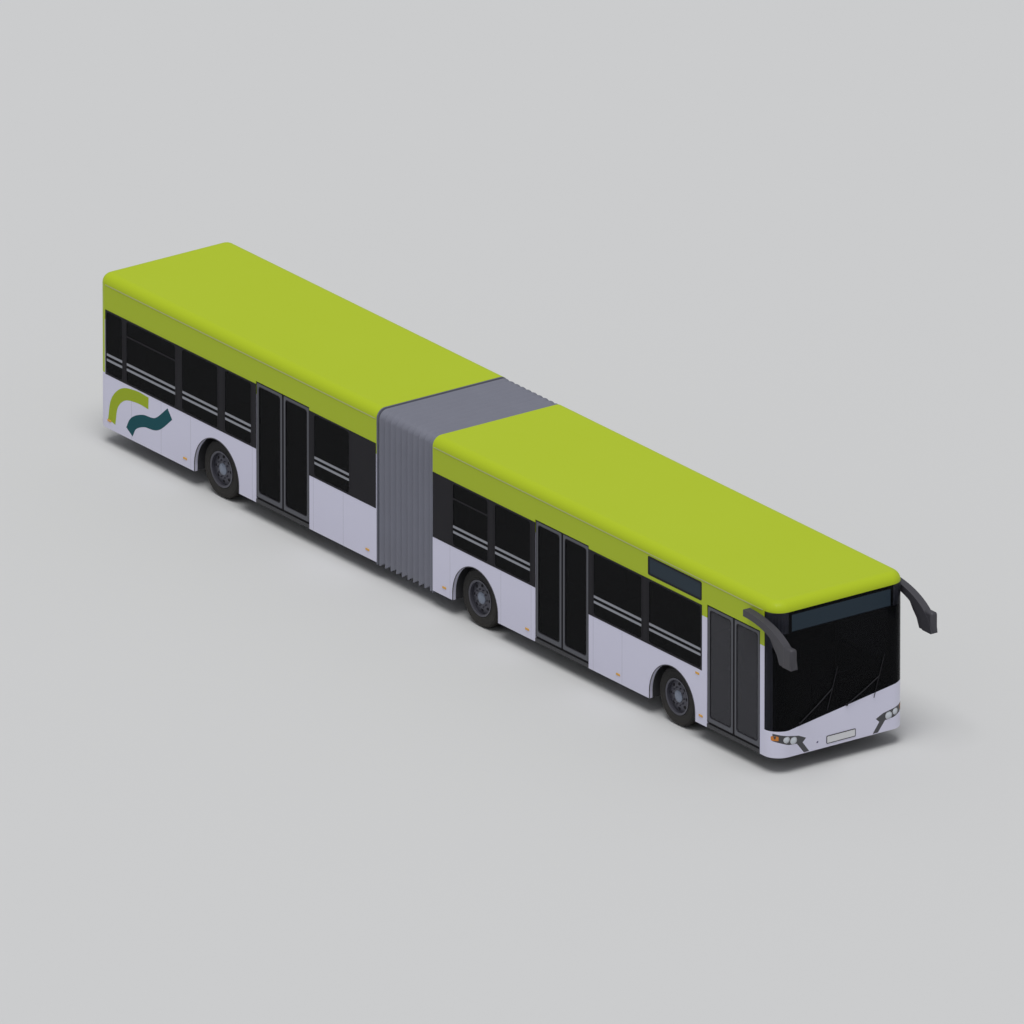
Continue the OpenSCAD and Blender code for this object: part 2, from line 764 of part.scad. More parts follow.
module engine_block() color([0.3, 0.3, 0.3])
  box([at(platform_s + 1400), at(platform_s + 250)], [-420, 420], [platform_z - deck_t - 450, platform_z - deck_t]);

// ---- Inside ----

// A seat for count people side by side, facing the nose: s is its front edge, y its inner edge
module seat(side, s, y, z, count) {
  w = count * seat_w;
  side_box(side, [at(s + seat_d), at(s)], [y, y + w], [z + seat_lift, z + seat_lift + seat_t]);
  side_box(side, [at(s + seat_d + seat_t), at(s + seat_d)], [y, y + w],
           [z + seat_lift, z + seat_lift + seat_back_h]);
  side_box(side, [at(s + seat_d - 60), at(s + 120)], [y + w / 2 - 40, y + w / 2 + 40], [z, z + seat_lift]);
}

pair_y = inner_w - 20 - 2 * seat_w;
pole_r = 16;

module pole(side, s, z)
  translate([at(s), side * (pair_y + 30), z + seat_lift + seat_back_h - e])
    cylinder(r = pole_r, h = body_h - wall_t - z - seat_lift - seat_back_h + e);

module seat_rows(side, rows, z)
  for (s = rows) {
    seat(side, s, pair_y, z, 2);
    pole(side, s + seat_d + seat_t / 2, z);
  }

module front_seats() color([0.2, 0.3, 0.35]) {
  seat_rows(1, [3450, 4200, 4950, 5700, 6450], floor_z);
  seat_rows(-1, [3450, 4200, 6450], floor_z);
}

module rear_seats() color([0.2, 0.3, 0.35]) {
  seat_rows(1, [10750, 11500, 12250, 13000, 13660, 15550], floor_z);
  seat_rows(-1, [10750, 11500, 15550], floor_z);
  for (side = [-1, 1]) seat_rows(side, [16400, 17150], platform_z);
}

cab_wall_s = 1830;
cab_y = 60;

module driver_cab() color([0.3, 0.3, 0.32]) {
  box([at(650), at(140)], [cab_y, half_w - nose_r], [floor_z, 1000]);
  box([at(cab_wall_s), at(cab_wall_s - 30)], [cab_y, inner_w], [floor_z, 2050]);
  box([at(cab_wall_s), at(900)], [cab_y, cab_y + 30], [floor_z, 1300]);
  translate([at(720), 640, 1060]) rotate([0, -35, 0]) {
    rotate_extrude() translate([225, 0]) circle(16);
    cube([40, 460, 16], center = true);
    translate([0, 0, -200]) cylinder(r = 40, h = 200);
  }
}

driver_s = 1180;

module driver_seat() color([0.15, 0.15, 0.16]) seat(1, driver_s, 430, floor_z, 1);

front_floor();
front_right_wall();
front_left_wall();
front_roof();
front_mask();
windscreen();
front_windows();
front_window_bars();
headlights();
route_signs();
mirrors();
driver_cab();
driver_seat();
front_seats();
front_axle();
middle_axle();
bellows();
turntable();
rear_floor();
rear_right_wall();
rear_left_wall();
rear_roof();
tail();
rear_windows();
rear_window_bars();
tail_lamps();
rear_seats();
rear_axle();
engine_deck();
engine_block();
pivot_frame();
right_knuckle();
left_knuckle();
front_right_tyre();
front_left_tyre();
middle_right_tyres();
middle_left_tyres();
rear_right_tyres();
rear_left_tyres();
front_right_rim();
front_left_rim();
middle_right_rims();
middle_left_rims();
rear_right_rims();
rear_left_rims();
front_door_fore_leaf();
front_door_aft_leaf();
mid_door_fore_leaf();
mid_door_aft_leaf();
rear_door_fore_leaf();
rear_door_aft_leaf();
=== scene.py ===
import math

import bmesh
import bpy
import numpy as np
from mathutils import Matrix, Vector


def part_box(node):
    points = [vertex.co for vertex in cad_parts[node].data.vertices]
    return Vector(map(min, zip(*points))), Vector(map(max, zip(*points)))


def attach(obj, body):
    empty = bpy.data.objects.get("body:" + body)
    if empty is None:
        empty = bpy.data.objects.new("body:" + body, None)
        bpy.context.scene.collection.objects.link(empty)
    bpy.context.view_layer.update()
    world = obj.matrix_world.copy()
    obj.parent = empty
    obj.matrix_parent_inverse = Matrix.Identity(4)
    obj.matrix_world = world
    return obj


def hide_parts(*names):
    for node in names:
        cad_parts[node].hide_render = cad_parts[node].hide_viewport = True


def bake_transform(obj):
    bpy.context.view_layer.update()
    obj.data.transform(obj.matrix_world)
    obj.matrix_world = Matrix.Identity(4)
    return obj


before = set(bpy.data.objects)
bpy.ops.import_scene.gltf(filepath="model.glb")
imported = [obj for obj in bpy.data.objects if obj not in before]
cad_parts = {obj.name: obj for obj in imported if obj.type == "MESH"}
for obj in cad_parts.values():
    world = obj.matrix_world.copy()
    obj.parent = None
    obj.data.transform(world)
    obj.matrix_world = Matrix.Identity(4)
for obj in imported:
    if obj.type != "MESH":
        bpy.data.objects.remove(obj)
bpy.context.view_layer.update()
print("frame loaded")

# places that everything else is worked out from
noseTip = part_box("front_mask")[1].x
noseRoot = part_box("front_mask")[0].x
noseRadius = noseTip - noseRoot
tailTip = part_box("tail")[0].x
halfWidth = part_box("front_left_wall")[1].y
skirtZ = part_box("front_left_wall")[0].z
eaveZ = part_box("front_left_wall")[1].z
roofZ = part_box("front_roof")[1].z
coveRadius = roofZ - eaveZ
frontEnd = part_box("bellows")[1].x
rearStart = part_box("bellows")[0].x
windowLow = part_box("front_windows")[0].z
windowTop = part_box("front_windows")[1].z


def nodeParts(nodeName):
    # boxes of the separate solids in a CAD node, sorted from the nose back
    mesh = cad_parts[nodeName].data
    keys, owner = {}, []
    for v in mesh.vertices:
        owner.append(keys.setdefault(tuple(round(c, 4) for c in v.co), len(keys)))
    root = list(range(len(keys)))

    def find(i):
        while root[i] != i:
            root[i] = root[root[i]]
            i = root[i]
        return i

    for e in mesh.edges:
        root[find(owner[e.vertices[0]])] = find(owner[e.vertices[1]])
    groups = {}
    for point, i in keys.items():
        groups.setdefault(find(i), []).append(point)
    boxes = [(Vector(np.min(g, 0)), Vector(np.max(g, 0))) for g in groups.values()]
    return sorted(boxes, key=lambda b: (b[0].y, -b[1].x, b[0].z))


def noseX(y):
    # X of the nose's face at a distance y from the middle
    over = abs(y) - (halfWidth - noseRadius)
    return noseTip if over <= 0 else noseRoot + math.sqrt(max(noseRadius ** 2 - over ** 2, 0))


# ---- mesh helpers ----

def addBox(bm, a, b):
    lo, hi = [min(p) for p in zip(a, b)], [max(p) for p in zip(a, b)]
    v = [bm.verts.new((x, y, z)) for x in (lo[0], hi[0]) for y in (lo[1], hi[1]) for z in (lo[2], hi[2])]
    for f in ((0, 1, 3, 2), (4, 6, 7, 5), (0, 4, 5, 1), (2, 3, 7, 6), (0, 2, 6, 4), (1, 5, 7, 3)):
        bm.faces.new([v[i] for i in f])


def addPrism(bm, outline, place, d0, d1):
    # an outline of (a, b) points given thickness from d0 to d1; place turns (a, b, d) into a point
    low = [bm.verts.new(place(a, b, d0)) for a, b in outline]
    high = [bm.verts.new(place(a, b, d1)) for a, b in outline]
    n = len(outline)
    bm.faces.new(low[::-1])
    bm.faces.new(high)
    for i in range(n):
        bm.faces.new((low[i], low[(i + 1) % n], high[(i + 1) % n], high[i]))


def addRing(bm, outer, inner, place, d0, d1):
    # the band between two outlines with the same number of points
    n = len(outer)
    loops = [[bm.verts.new(place(a, b, d)) for a, b in line] for line, d in
             ((outer, d0), (outer, d1), (inner, d1), (inner, d0))]
    for k in range(4):
        p, q = loops[k], loops[(k + 1) % 4]
        for i in range(n):
            bm.faces.new((p[i], p[(i + 1) % n], q[(i + 1) % n], q[i]))


def addTurned(bm, profile, place, segments=64, closed=True):
    # turns a profile of (radius, depth) points; place turns (radius, angle, depth) into a point
    rings = [[bm.verts.new(place(r, 2 * math.pi * k / segments, t)) for k in range(segments)] for r, t in profile]
    last = len(profile) if closed else len(profile) - 1
    for i in range(last):
        p, q = rings[i], rings[(i + 1) % len(profile)]
        for k in range(segments):
            bm.faces.new((p[k], p[(k + 1) % segments], q[(k + 1) % segments], q[k]))


def addTube(bm, points, radius, sides=10):
    # a round bar along a list of points, with closed ends
    rings = []
    for i, p in enumerate(points):
        ahead = Vector(points[min(i + 1, len(points) - 1)]) - Vector(points[max(i - 1, 0)])
        turn = ahead.to_track_quat("Z", "Y")
        rings.append([bm.verts.new(Vector(p) + turn @ Vector((radius * math.cos(2 * math.pi * k / sides),
                                                              radius * math.sin(2 * math.pi * k / sides), 0)))
                      for k in range(sides)])
    for p, q in zip(rings, rings[1:]):
        for k in range(sides):
            bm.faces.new((p[k], p[(k + 1) % sides], q[(k + 1) % sides], q[k]))
    bm.faces.new(rings[0][::-1])
    bm.faces.new(rings[-1])


def roundRect(a0, a1, b0, b1, r, steps=5):
    r = min(r, (a1 - a0) / 2.01, (b1 - b0) / 2.01)
    out = []
    for ca, cb, start in ((a1 - r, b0 + r, -90), (a1 - r, b1 - r, 0), (a0 + r, b1 - r, 90), (a0 + r, b0 + r, 180)):
        for k in range(steps + 1):
            t = math.radians(start + 90 * k / steps)
            out.append((ca + r * math.cos(t), cb + r * math.sin(t)))
    return out


def onSide(side):
    return lambda x, z, d: (x, side * (halfWidth + d), z)


def onNose(y, z, d):
    return (noseX(y) + d, y, z)


def onTail(y, z, d):
    return (tailTip - d, y, z)


def sharpen(mesh, degrees):
    # smooth shading that keeps creases over the given angle
    bm = bmesh.new()
    bm.from_mesh(mesh)
    for f in bm.faces:
        f.smooth = True
    for edge in bm.edges:
        edge.smooth = len(edge.link_faces) == 2 and edge.calc_face_angle(0) < math.radians(degrees)
    bm.to_mesh(mesh)
    bm.free()


def makePiece(name, bm, material, body, bevel=0.0, crease=35, hides=()):
    bmesh.ops.remove_doubles(bm, verts=bm.verts, dist=1e-6)
    bmesh.ops.recalc_face_normals(bm, faces=bm.faces)
    mesh = bpy.data.meshes.new(name)
    bm.to_mesh(mesh)
    bm.free()
    return dressPiece(name, mesh, material, body, bevel, crease, hides)


def dressPiece(name, mesh, material, body, bevel=0.0, crease=35, hides=()):
    mesh.materials.clear()
    mesh.materials.append(material)
    sharpen(mesh, crease)
    piece = bpy.data.objects.new(name, mesh)
    bpy.context.scene.collection.objects.link(piece)
    if bevel:
        edgeBevel = piece.modifiers.new("edges", "BEVEL")
        edgeBevel.width = bevel
        edgeBevel.segments = 2
        edgeBevel.limit_method = "ANGLE"
        edgeBevel.angle_limit = math.radians(40)
    if body:
        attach(piece, body)
    if hides:
        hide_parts(*hides)
    return piece


# ---- geometry node trees for what repeats ----

def newTree(name, inputs):
    tree = bpy.data.node_groups.new(name, "GeometryNodeTree")
    tree.interface.new_socket("Geometry", in_out="INPUT", socket_type="NodeSocketGeometry")
    for label, kind in inputs:
        tree.interface.new_socket(label, in_out="INPUT", socket_type="NodeSocket" + kind)
    tree.interface.new_socket("Geometry", in_out="OUTPUT", socket_type="NodeSocketGeometry")
    return tree, tree.nodes.new("NodeGroupInput"), tree.nodes.new("NodeGroupOutput")


def endTree(tree, entry, leave, instances):
    realize = tree.nodes.new("GeometryNodeRealizeInstances")
    paint = tree.nodes.new("GeometryNodeSetMaterial")
    tree.links.new(instances.outputs["Instances"], realize.inputs["Geometry"])
    tree.links.new(realize.outputs["Geometry"], paint.inputs["Geometry"])
    tree.links.new(entry.outputs["Material"], paint.inputs["Material"])
    tree.links.new(paint.outputs["Geometry"], leave.inputs["Geometry"])
    return tree


def buildRingTree():
    # copies of a piece round the Z axis, each turned to face outwards
    tree, entry, leave = newTree("ringOfPieces", [("Piece", "Object"), ("Count", "Int"), ("Radius", "Float"),
                                                  ("Material", "Material")])
    circle = tree.nodes.new("GeometryNodeMeshCircle")
    info = tree.nodes.new("GeometryNodeObjectInfo")
    place = tree.nodes.new("GeometryNodeInstanceOnPoints")
    where = tree.nodes.new("GeometryNodeInputPosition")
    face = tree.nodes.new("FunctionNodeAlignRotationToVector")
    face.axis = "X"
    face.pivot_axis = "Z"
    tree.links.new(entry.outputs["Count"], circle.inputs["Vertices"])
    tree.links.new(entry.outputs["Radius"], circle.inputs["Radius"])
    tree.links.new(entry.outputs["Piece"], info.inputs["Object"])
    tree.links.new(where.outputs["Position"], face.inputs["Vector"])
    tree.links.new(circle.outputs["Mesh"], place.inputs["Points"])
    tree.links.new(info.outputs["Geometry"], place.inputs["Instance"])
    tree.links.new(face.outputs["Rotation"], place.inputs["Rotation"])
    return endTree(tree, entry, leave, place)


def buildRowTree():
    # copies of a piece from Start on, one Step apart
    tree, entry, leave = newTree("rowOfPieces", [("Piece", "Object"), ("Count", "Int"), ("Start", "Vector"),
                                                 ("Step", "Vector"), ("Material", "Material")])
    line = tree.nodes.new("GeometryNodeMeshLine")
    info = tree.nodes.new("GeometryNodeObjectInfo")
    place = tree.nodes.new("GeometryNodeInstanceOnPoints")
    tree.links.new(entry.outputs["Count"], line.inputs["Count"])
    tree.links.new(entry.outputs["Start"], line.inputs["Start Location"])
    tree.links.new(entry.outputs["Step"], line.inputs["Offset"])
    tree.links.new(entry.outputs["Piece"], info.inputs["Object"])
    tree.links.new(line.outputs["Mesh"], place.inputs["Points"])
    tree.links.new(info.outputs["Geometry"], place.inputs["Instance"])
    return endTree(tree, entry, leave, place)


ringTree = buildRingTree()
rowTree = buildRowTree()


def grow(tree, template, material, **values):
    # runs a tree on an empty mesh and gives back the plain mesh
    pattern = bpy.data.meshes.new("pattern")
    template.to_mesh(pattern)
    template.free()
    source = bpy.data.objects.new("pattern", pattern)
    holder = bpy.data.objects.new("holder", bpy.data.meshes.new("holder"))
    for o in (source, holder):
        bpy.context.scene.collection.objects.link(o)
    nodesModifier = holder.modifiers.new("repeat", "NODES")
    nodesModifier.node_group = tree
    values.update(Piece=source, Material=material)
    for item in tree.interface.items_tree:
        if item.item_type == "SOCKET" and item.in_out == "INPUT" and item.name in values:
            nodesModifier[item.identifier] = values[item.name]
    holder.update_tag()
    bpy.context.view_layer.update()
    graph = bpy.context.evaluated_depsgraph_get()
    mesh = bpy.data.meshes.new_from_object(holder.evaluated_get(graph), depsgraph=graph)
    bpy.data.objects.remove(holder)
    bpy.data.objects.remove(source)
    return mesh


def absorb(bm, mesh, move=None):
    # adds a plain mesh to a bmesh, moved by a matrix
    if move is not None:
        mesh.transform(move)
    bm.from_mesh(mesh)
    bpy.data.meshes.remove(mesh)


# ---- shader groups and materials ----

def newShaderGroup(name, inputs, outputs):
    group = bpy.data.node_groups.new(name, "ShaderNodeTree")
    for label, kind in inputs:
        group.interface.new_socket(label, in_out="INPUT", socket_type="NodeSocket" + kind)
    for label, kind in outputs:
        group.interface.new_socket(label, in_out="OUTPUT", socket_type="NodeSocket" + kind)
    return group, group.nodes.new("NodeGroupInput"), group.nodes.new("NodeGroupOutput")


def mathNode(tree, operation, a, b):
    node = tree.nodes.new("ShaderNodeMath")
    node.operation = operation
    for socket, value in zip(node.inputs, (a, b)):
        if isinstance(value, (int, float)):
            socket.default_value = value
        else:
            tree.links.new(value, socket)
    return node.outputs[0]


def mixColours(tree, factor, a, b):
    node = tree.nodes.new("ShaderNodeMix")
    node.data_type = "RGBA"
    for socket, value in ((node.inputs[0], factor), (node.inputs[6], a), (node.inputs[7], b)):
        if hasattr(value, "is_output"):
            tree.links.new(value, socket)
        else:
            socket.default_value = value
    return node.outputs[2]


def buildPatina():
    # slow shade changes, fine grain and road dust that fades out upwards
    group, entry, leave = newShaderGroup(
        "patina",
        [("Place", "Vector"), ("Colour", "Color"), ("Roughness", "Float"), ("Patch Scale", "Float"),
         ("Patch Amount", "Float"), ("Grain Scale", "Float"), ("Dust Amount", "Float"), ("Dust Top", "Float")],
        [("Colour", "Color"), ("Roughness", "Float"), ("Height", "Float")])
    patch, grain = group.nodes.new("ShaderNodeTexNoise"), group.nodes.new("ShaderNodeTexNoise")
    for noise, scale in ((patch, "Patch Scale"), (grain, "Grain Scale")):
        group.links.new(entry.outputs["Place"], noise.inputs["Vector"])
        group.links.new(entry.outputs[scale], noise.inputs["Scale"])
        noise.inputs["Detail"].default_value = 4.0
    split = group.nodes.new("ShaderNodeSeparateXYZ")
    group.links.new(entry.outputs["Place"], split.inputs[0])
    darker = group.nodes.new("ShaderNodeHueSaturation")
    darker.inputs["Value"].default_value = 0.72
    group.links.new(entry.outputs["Colour"], darker.inputs["Color"])
    shade = mathNode(group, "MULTIPLY", patch.outputs["Fac"], entry.outputs["Patch Amount"])
    mottled = mixColours(group, shade, entry.outputs["Colour"], darker.outputs["Color"])
    low = mathNode(group, "DIVIDE", split.outputs["Z"], entry.outputs["Dust Top"])
    fade = mathNode(group, "SUBTRACT", 1.0, low)
    fade = mathNode(group, "MAXIMUM", fade, 0.0)
    fade = mathNode(group, "MULTIPLY", fade, patch.outputs["Fac"])
    dust = mathNode(group, "MULTIPLY", fade, entry.outputs["Dust Amount"])
    group.links.new(mixColours(group, dust, mottled, (0.20, 0.18, 0.15, 1)), leave.inputs["Colour"])
    swing = mathNode(group, "MULTIPLY", mathNode(group, "SUBTRACT", patch.outputs["Fac"], 0.5), 0.12)
    rough = mathNode(group, "ADD", entry.outputs["Roughness"], swing)
    rough = mathNode(group, "ADD", rough, mathNode(group, "MULTIPLY", dust, 0.5))
    group.links.new(rough, leave.inputs["Roughness"])
    group.links.new(grain.outputs["Fac"], leave.inputs["Height"])
    return group


def buildWeave():
    # plain weave of crossing threads
    group, entry, leave = newShaderGroup("weave", [("Place", "Vector"), ("Threads", "Float")],
                                         [("Height", "Float")])
    split = group.nodes.new("ShaderNodeSeparateXYZ")
    group.links.new(entry.outputs["Place"], split.inputs[0])
    waves = []
    for axis in "XYZ":
        run = mathNode(group, "MULTIPLY", split.outputs[axis], entry.outputs["Threads"])
        waves.append(mathNode(group, "SINE", run, 0.0))
    crossed = mathNode(group, "ADD", mathNode(group, "MULTIPLY", waves[0], waves[2]),
                       mathNode(group, "MULTIPLY", waves[1], waves[2]))
    group.links.new(crossed, leave.inputs["Height"])
    return group


patina = buildPatina()
weave = buildWeave()


def makeMaterial(name, colour, roughness, metallic=0.0, patch=(0.8, 0.25), grain=(900.0, 0.04), dust=(0.0, 1.0),
                 split=None, coat=0.0, specular=0.5, transmission=0.0, threads=0.0, sheen=0.0, ior=1.5):
    # split = (height, lower colour) paints everything under that height in the lower colour
    material = bpy.data.materials.new(name)
    material.use_nodes = True
    tree = material.node_tree
    shader = tree.nodes["Principled BSDF"]
    place = tree.nodes.new("ShaderNodeTexCoord").outputs["Object"]
    wear = tree.nodes.new("ShaderNodeGroup")
    wear.node_tree = patina
    tree.links.new(place, wear.inputs["Place"])
    wear.inputs["Colour"].default_value = (*colour, 1)
    for label, value in (("Roughness", roughness), ("Patch Scale", patch[0]), ("Patch Amount", patch[1]),
                         ("Grain Scale", grain[0]), ("Dust Amount", dust[0]), ("Dust Top", dust[1])):
        wear.inputs[label].default_value = value
    if split:
        height = tree.nodes.new("ShaderNodeSeparateXYZ")
        tree.links.new(place, height.inputs[0])
        above = mathNode(tree, "GREATER_THAN", height.outputs["Z"], split[0])
        tree.links.new(mixColours(tree, above, (*split[1], 1), (*colour, 1)), wear.inputs["Colour"])
    bump = tree.nodes.new("ShaderNodeBump")
    bump.inputs["Strength"].default_value = grain[1]
    bump.inputs["Distance"].default_value = 0.002
    tree.links.new(wear.outputs["Height"], bump.inputs["Height"])
    last = bump
    if threads:
        cloth = tree.nodes.new("ShaderNodeGroup")
        cloth.node_tree = weave
        tree.links.new(place, cloth.inputs["Place"])
        cloth.inputs["Threads"].default_value = threads
        last = tree.nodes.new("ShaderNodeBump")
        last.inputs["Strength"].default_value = 0.3
        last.inputs["Distance"].default_value = 0.001
        tree.links.new(cloth.outputs["Height"], last.inputs["Height"])
        tree.links.new(bump.outputs["Normal"], last.inputs["Normal"])
    tree.links.new(last.outputs["Normal"], shader.inputs["Normal"])
    tree.links.new(wear.outputs["Colour"], shader.inputs["Base Color"])
    tree.links.new(wear.outputs["Roughness"], shader.inputs["Roughness"])
    for label, value in (("Metallic", metallic), ("Coat Weight", coat), ("Coat Roughness", 0.06),
                         ("Specular IOR Level", specular), ("Transmission Weight", transmission),
                         ("Sheen Weight", sheen), ("IOR", ior)):
        shader.inputs[label].default_value = value
    return material


limeColour = (0.43, 0.54, 0.022)
whiteColour = (0.70, 0.69, 0.84)
bodyPaint = makeMaterial("bodyPaint", limeColour, 0.36, split=(2.10, whiteColour), coat=0.06, dust=(0.10, 0.9),
                         patch=(0.7, 0.08), grain=(260.0, 0.03), specular=0.12)
tailPaint = makeMaterial("tailPaint", limeColour, 0.36, split=(1.20, whiteColour), coat=0.06, dust=(0.16, 0.9),
                         patch=(0.7, 0.08), grain=(260.0, 0.03), specular=0.12)
maskPaint = makeMaterial("maskPaint", whiteColour, 0.32, coat=0.35, dust=(0.10, 0.8), patch=(0.7, 0.08),
                         grain=(260.0, 0.03), specular=0.35)
roofPaint = makeMaterial("roofPaint", limeColour, 0.5, coat=0.03, patch=(0.5, 0.12), grain=(180.0, 0.05),
                         specular=0.1)
tintedGlass = makeMaterial("tintedGlass", (0.045, 0.047, 0.053), 0.03, transmission=0.9, specular=0.3, ior=1.1,
                           patch=(0.5, 0.0), grain=(30.0, 0.004))
# black rubber, also used for the dark discs of painted shade in the wheel hand holes
blackRubberAndHoleShade = makeMaterial("blackRubberAndHoleShade", (0.020, 0.019, 0.023), 0.6, grain=(700.0, 0.12), specular=0.12)
barMetal = makeMaterial("barMetal", (0.30, 0.31, 0.35), 0.38, metallic=0.25, grain=(500.0, 0.05))
lampHousing = makeMaterial("lampHousing", (0.055, 0.055, 0.062), 0.35, grain=(600.0, 0.05))
lampGlass = makeMaterial("lampGlass", (0.62, 0.66, 0.72), 0.12, coat=0.8, grain=(120.0, 0.1))
lampChrome = makeMaterial("lampChrome", (0.70, 0.71, 0.74), 0.12, metallic=1.0, grain=(200.0, 0.02))
markerAmber = makeMaterial("markerAmber", (0.70, 0.36, 0.045), 0.25, coat=0.4, grain=(420.0, 0.1))
amberLens = makeMaterial("amberLens", (0.62, 0.20, 0.01), 0.18, coat=0.6, grain=(420.0, 0.15))
redLens = makeMaterial("redLens", (0.34, 0.012, 0.01), 0.16, coat=0.6, grain=(420.0, 0.15))
displayFace = makeMaterial("displayFace", (0.025, 0.040, 0.056), 0.4, specular=0.1, grain=(150.0, 0.02))
grainedPlastic = makeMaterial("grainedPlastic", (0.058, 0.056, 0.066), 0.5, grain=(1100.0, 0.18), specular=0.35)
leafPaint = makeMaterial("leafPaint", (0.085, 0.088, 0.105), 0.42, grain=(500.0, 0.05), specular=0.4)
axleIron = makeMaterial("axleIron", (0.035, 0.034, 0.034), 0.6, metallic=0.2, patch=(6.0, 0.5), dust=(0.5, 1.2),
                        grain=(140.0, 0.3))
underPaint = makeMaterial("underPaint", (0.030, 0.028, 0.030), 0.75, patch=(3.0, 0.5), dust=(0.4, 1.0),
                          grain=(160.0, 0.2))
floorVinyl = makeMaterial("floorVinyl", (0.05, 0.05, 0.055), 0.7, patch=(8.0, 0.4), grain=(900.0, 0.2))
bellowsCloth = makeMaterial("bellowsCloth", (0.20, 0.205, 0.25), 0.72, patch=(2.5, 0.3), grain=(300.0, 0.1),
                            threads=2400.0, dust=(0.15, 1.0), specular=0.25)
seatCloth = makeMaterial("seatCloth", (0.02, 0.09, 0.12), 0.85, patch=(30.0, 0.3), threads=3600.0, sheen=0.3,
                         specular=0.2)
seatPlastic = makeMaterial("seatPlastic", (0.16, 0.17, 0.18), 0.5, grain=(900.0, 0.1))
tyreRubber = makeMaterial("tyreRubber", (0.018, 0.0175, 0.018), 0.78, patch=(9.0, 0.35), dust=(0.22, 1.1),
                          grain=(420.0, 0.25), specular=0.3)
rimPaint = makeMaterial("rimPaint", (0.085, 0.085, 0.11), 0.42, metallic=0.35, patch=(14.0, 0.35),
                        dust=(0.15, 1.0), grain=(300.0, 0.06))
hubSteel = makeMaterial("hubSteel", (0.24, 0.27, 0.34), 0.3, metallic=0.7, patch=(20.0, 0.3), grain=(300.0, 0.04))
mirrorGlass = makeMaterial("mirrorGlass", (0.75, 0.77, 0.80), 0.03, metallic=1.0, grain=(20.0, 0.002))
limeFilm = makeMaterial("limeFilm", (0.36, 0.46, 0.02), 0.4, grain=(260.0, 0.02), specular=0.1)
tealFilm = makeMaterial("tealFilm", (0.004, 0.080, 0.100), 0.4, grain=(260.0, 0.02), specular=0.1)
yellowGrab = makeMaterial("yellowGrab", (0.62, 0.40, 0.02), 0.35, grain=(500.0, 0.04))

nodePaint = {
    "front_floor": floorVinyl, "rear_floor": floorVinyl, "engine_deck": underPaint, "engine_block": axleIron,
    "front_right_wall": bodyPaint, "front_left_wall": bodyPaint, "rear_right_wall": bodyPaint,
    "rear_left_wall": bodyPaint, "front_roof": roofPaint, "rear_roof": roofPaint, "front_mask": maskPaint,
    "tail": tailPaint, "windscreen": tintedGlass, "front_windows": tintedGlass, "rear_windows": tintedGlass,
    "front_window_bars": barMetal, "rear_window_bars": barMetal, "headlights": lampHousing,
    "tail_lamps": redLens, "route_signs": displayFace, "driver_cab": grainedPlastic, "front_axle": axleIron,
    "middle_axle": axleIron, "rear_axle": axleIron, "turntable": axleIron, "pivot_frame": axleIron,
    "left_knuckle": axleIron, "right_knuckle": axleIron,
}
for nodeName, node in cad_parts.items():
    node.data.materials.clear()
    node.data.materials.append(nodePaint.get(nodeName, grainedPlastic))
print("materials made")


# ---- wheels ----

tyreKit = {"rimSeat": 0.286, "width": 0.275, "shoulder": 0.035, "blocks": 60, "blockHeight": 0.008,
           "blockHalf": 0.018, "blockWidth": 0.042, "blockPitch": 0.0505, "rows": 4,
           "ribs": (0.330, 0.405, 0.440), "ribHeight": 0.003}
wheelNodes = {
    "front_right_tyre": "front_right_wheel", "front_left_tyre": "front_left_wheel",
    "middle_right_tyres": "middle_right_wheels", "middle_left_tyres": "middle_left_wheels",
    "rear_right_tyres": "rear_right_wheels", "rear_left_tyres": "rear_left_wheels",
}


def buildTyre(nodeName, body):
    # one or two tyres: bead to crown section with ribs, and tread blocks round the crown
    lo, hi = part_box(nodeName)
    t, middle = tyreKit, (lo + hi) / 2
    width, r = t["width"], (hi.z - lo.z) / 2 - t["blockHeight"]
    bm = bmesh.new()
    count = 2 if hi.y - lo.y > 2 * width else 1
    for i in range(count):
        y0 = lo.y if i == 0 else hi.y - width
        place = lambda rad, ang, d: (middle.x + rad * math.cos(ang), y0 + d, middle.z + rad * math.sin(ang))
        wall = [(t["rimSeat"], 0.03), (0.30, 0.012)]
        for rib in t["ribs"]:
            top = 0.005 - t["ribHeight"]
            wall += [(rib - 0.006, 0.005), (rib - 0.003, top), (rib + 0.003, top), (rib + 0.006, 0.005)]
        wall += [(r - t["shoulder"], 0.006), (r - 0.010, 0.018), (r, t["shoulder"])]
        mirrored = [(rad, width - d) for rad, d in reversed(wall)]
        addTurned(bm, wall + mirrored, place, 72)
        block = bmesh.new()
        for k in range(t["rows"]):
            z = -width / 2 + t["shoulder"] + 0.004 + k * t["blockPitch"]
            addBox(block, (-0.004, -t["blockHalf"], z), (t["blockHeight"] - 0.001, t["blockHalf"], z + t["blockWidth"]))
        ring = grow(ringTree, block, tyreRubber, Count=t["blocks"], Radius=r)
        upright = Matrix.Rotation(math.pi / 2, 4, "X")
        absorb(bm, ring, Matrix.Translation((middle.x, y0 + width / 2, middle.z)) @ upright)
    makePiece(nodeName + "_dressed", bm, tyreRubber, body, crease=32, hides=(nodeName,))


for tyreName, wheelBody in wheelNodes.items():
    buildTyre(tyreName, wheelBody)
print("tyres made")


wheelKit = {"discFace": 0.098, "capRadius": 0.105, "nutCircle": 0.145, "nutCount": 10, "holeCircle": 0.205,
            "holeCount": 8, "coneInner": 0.17, "coneOuter": 0.262}
rimNodes = {name.replace("tyre", "rim"): body for name, body in wheelNodes.items()}


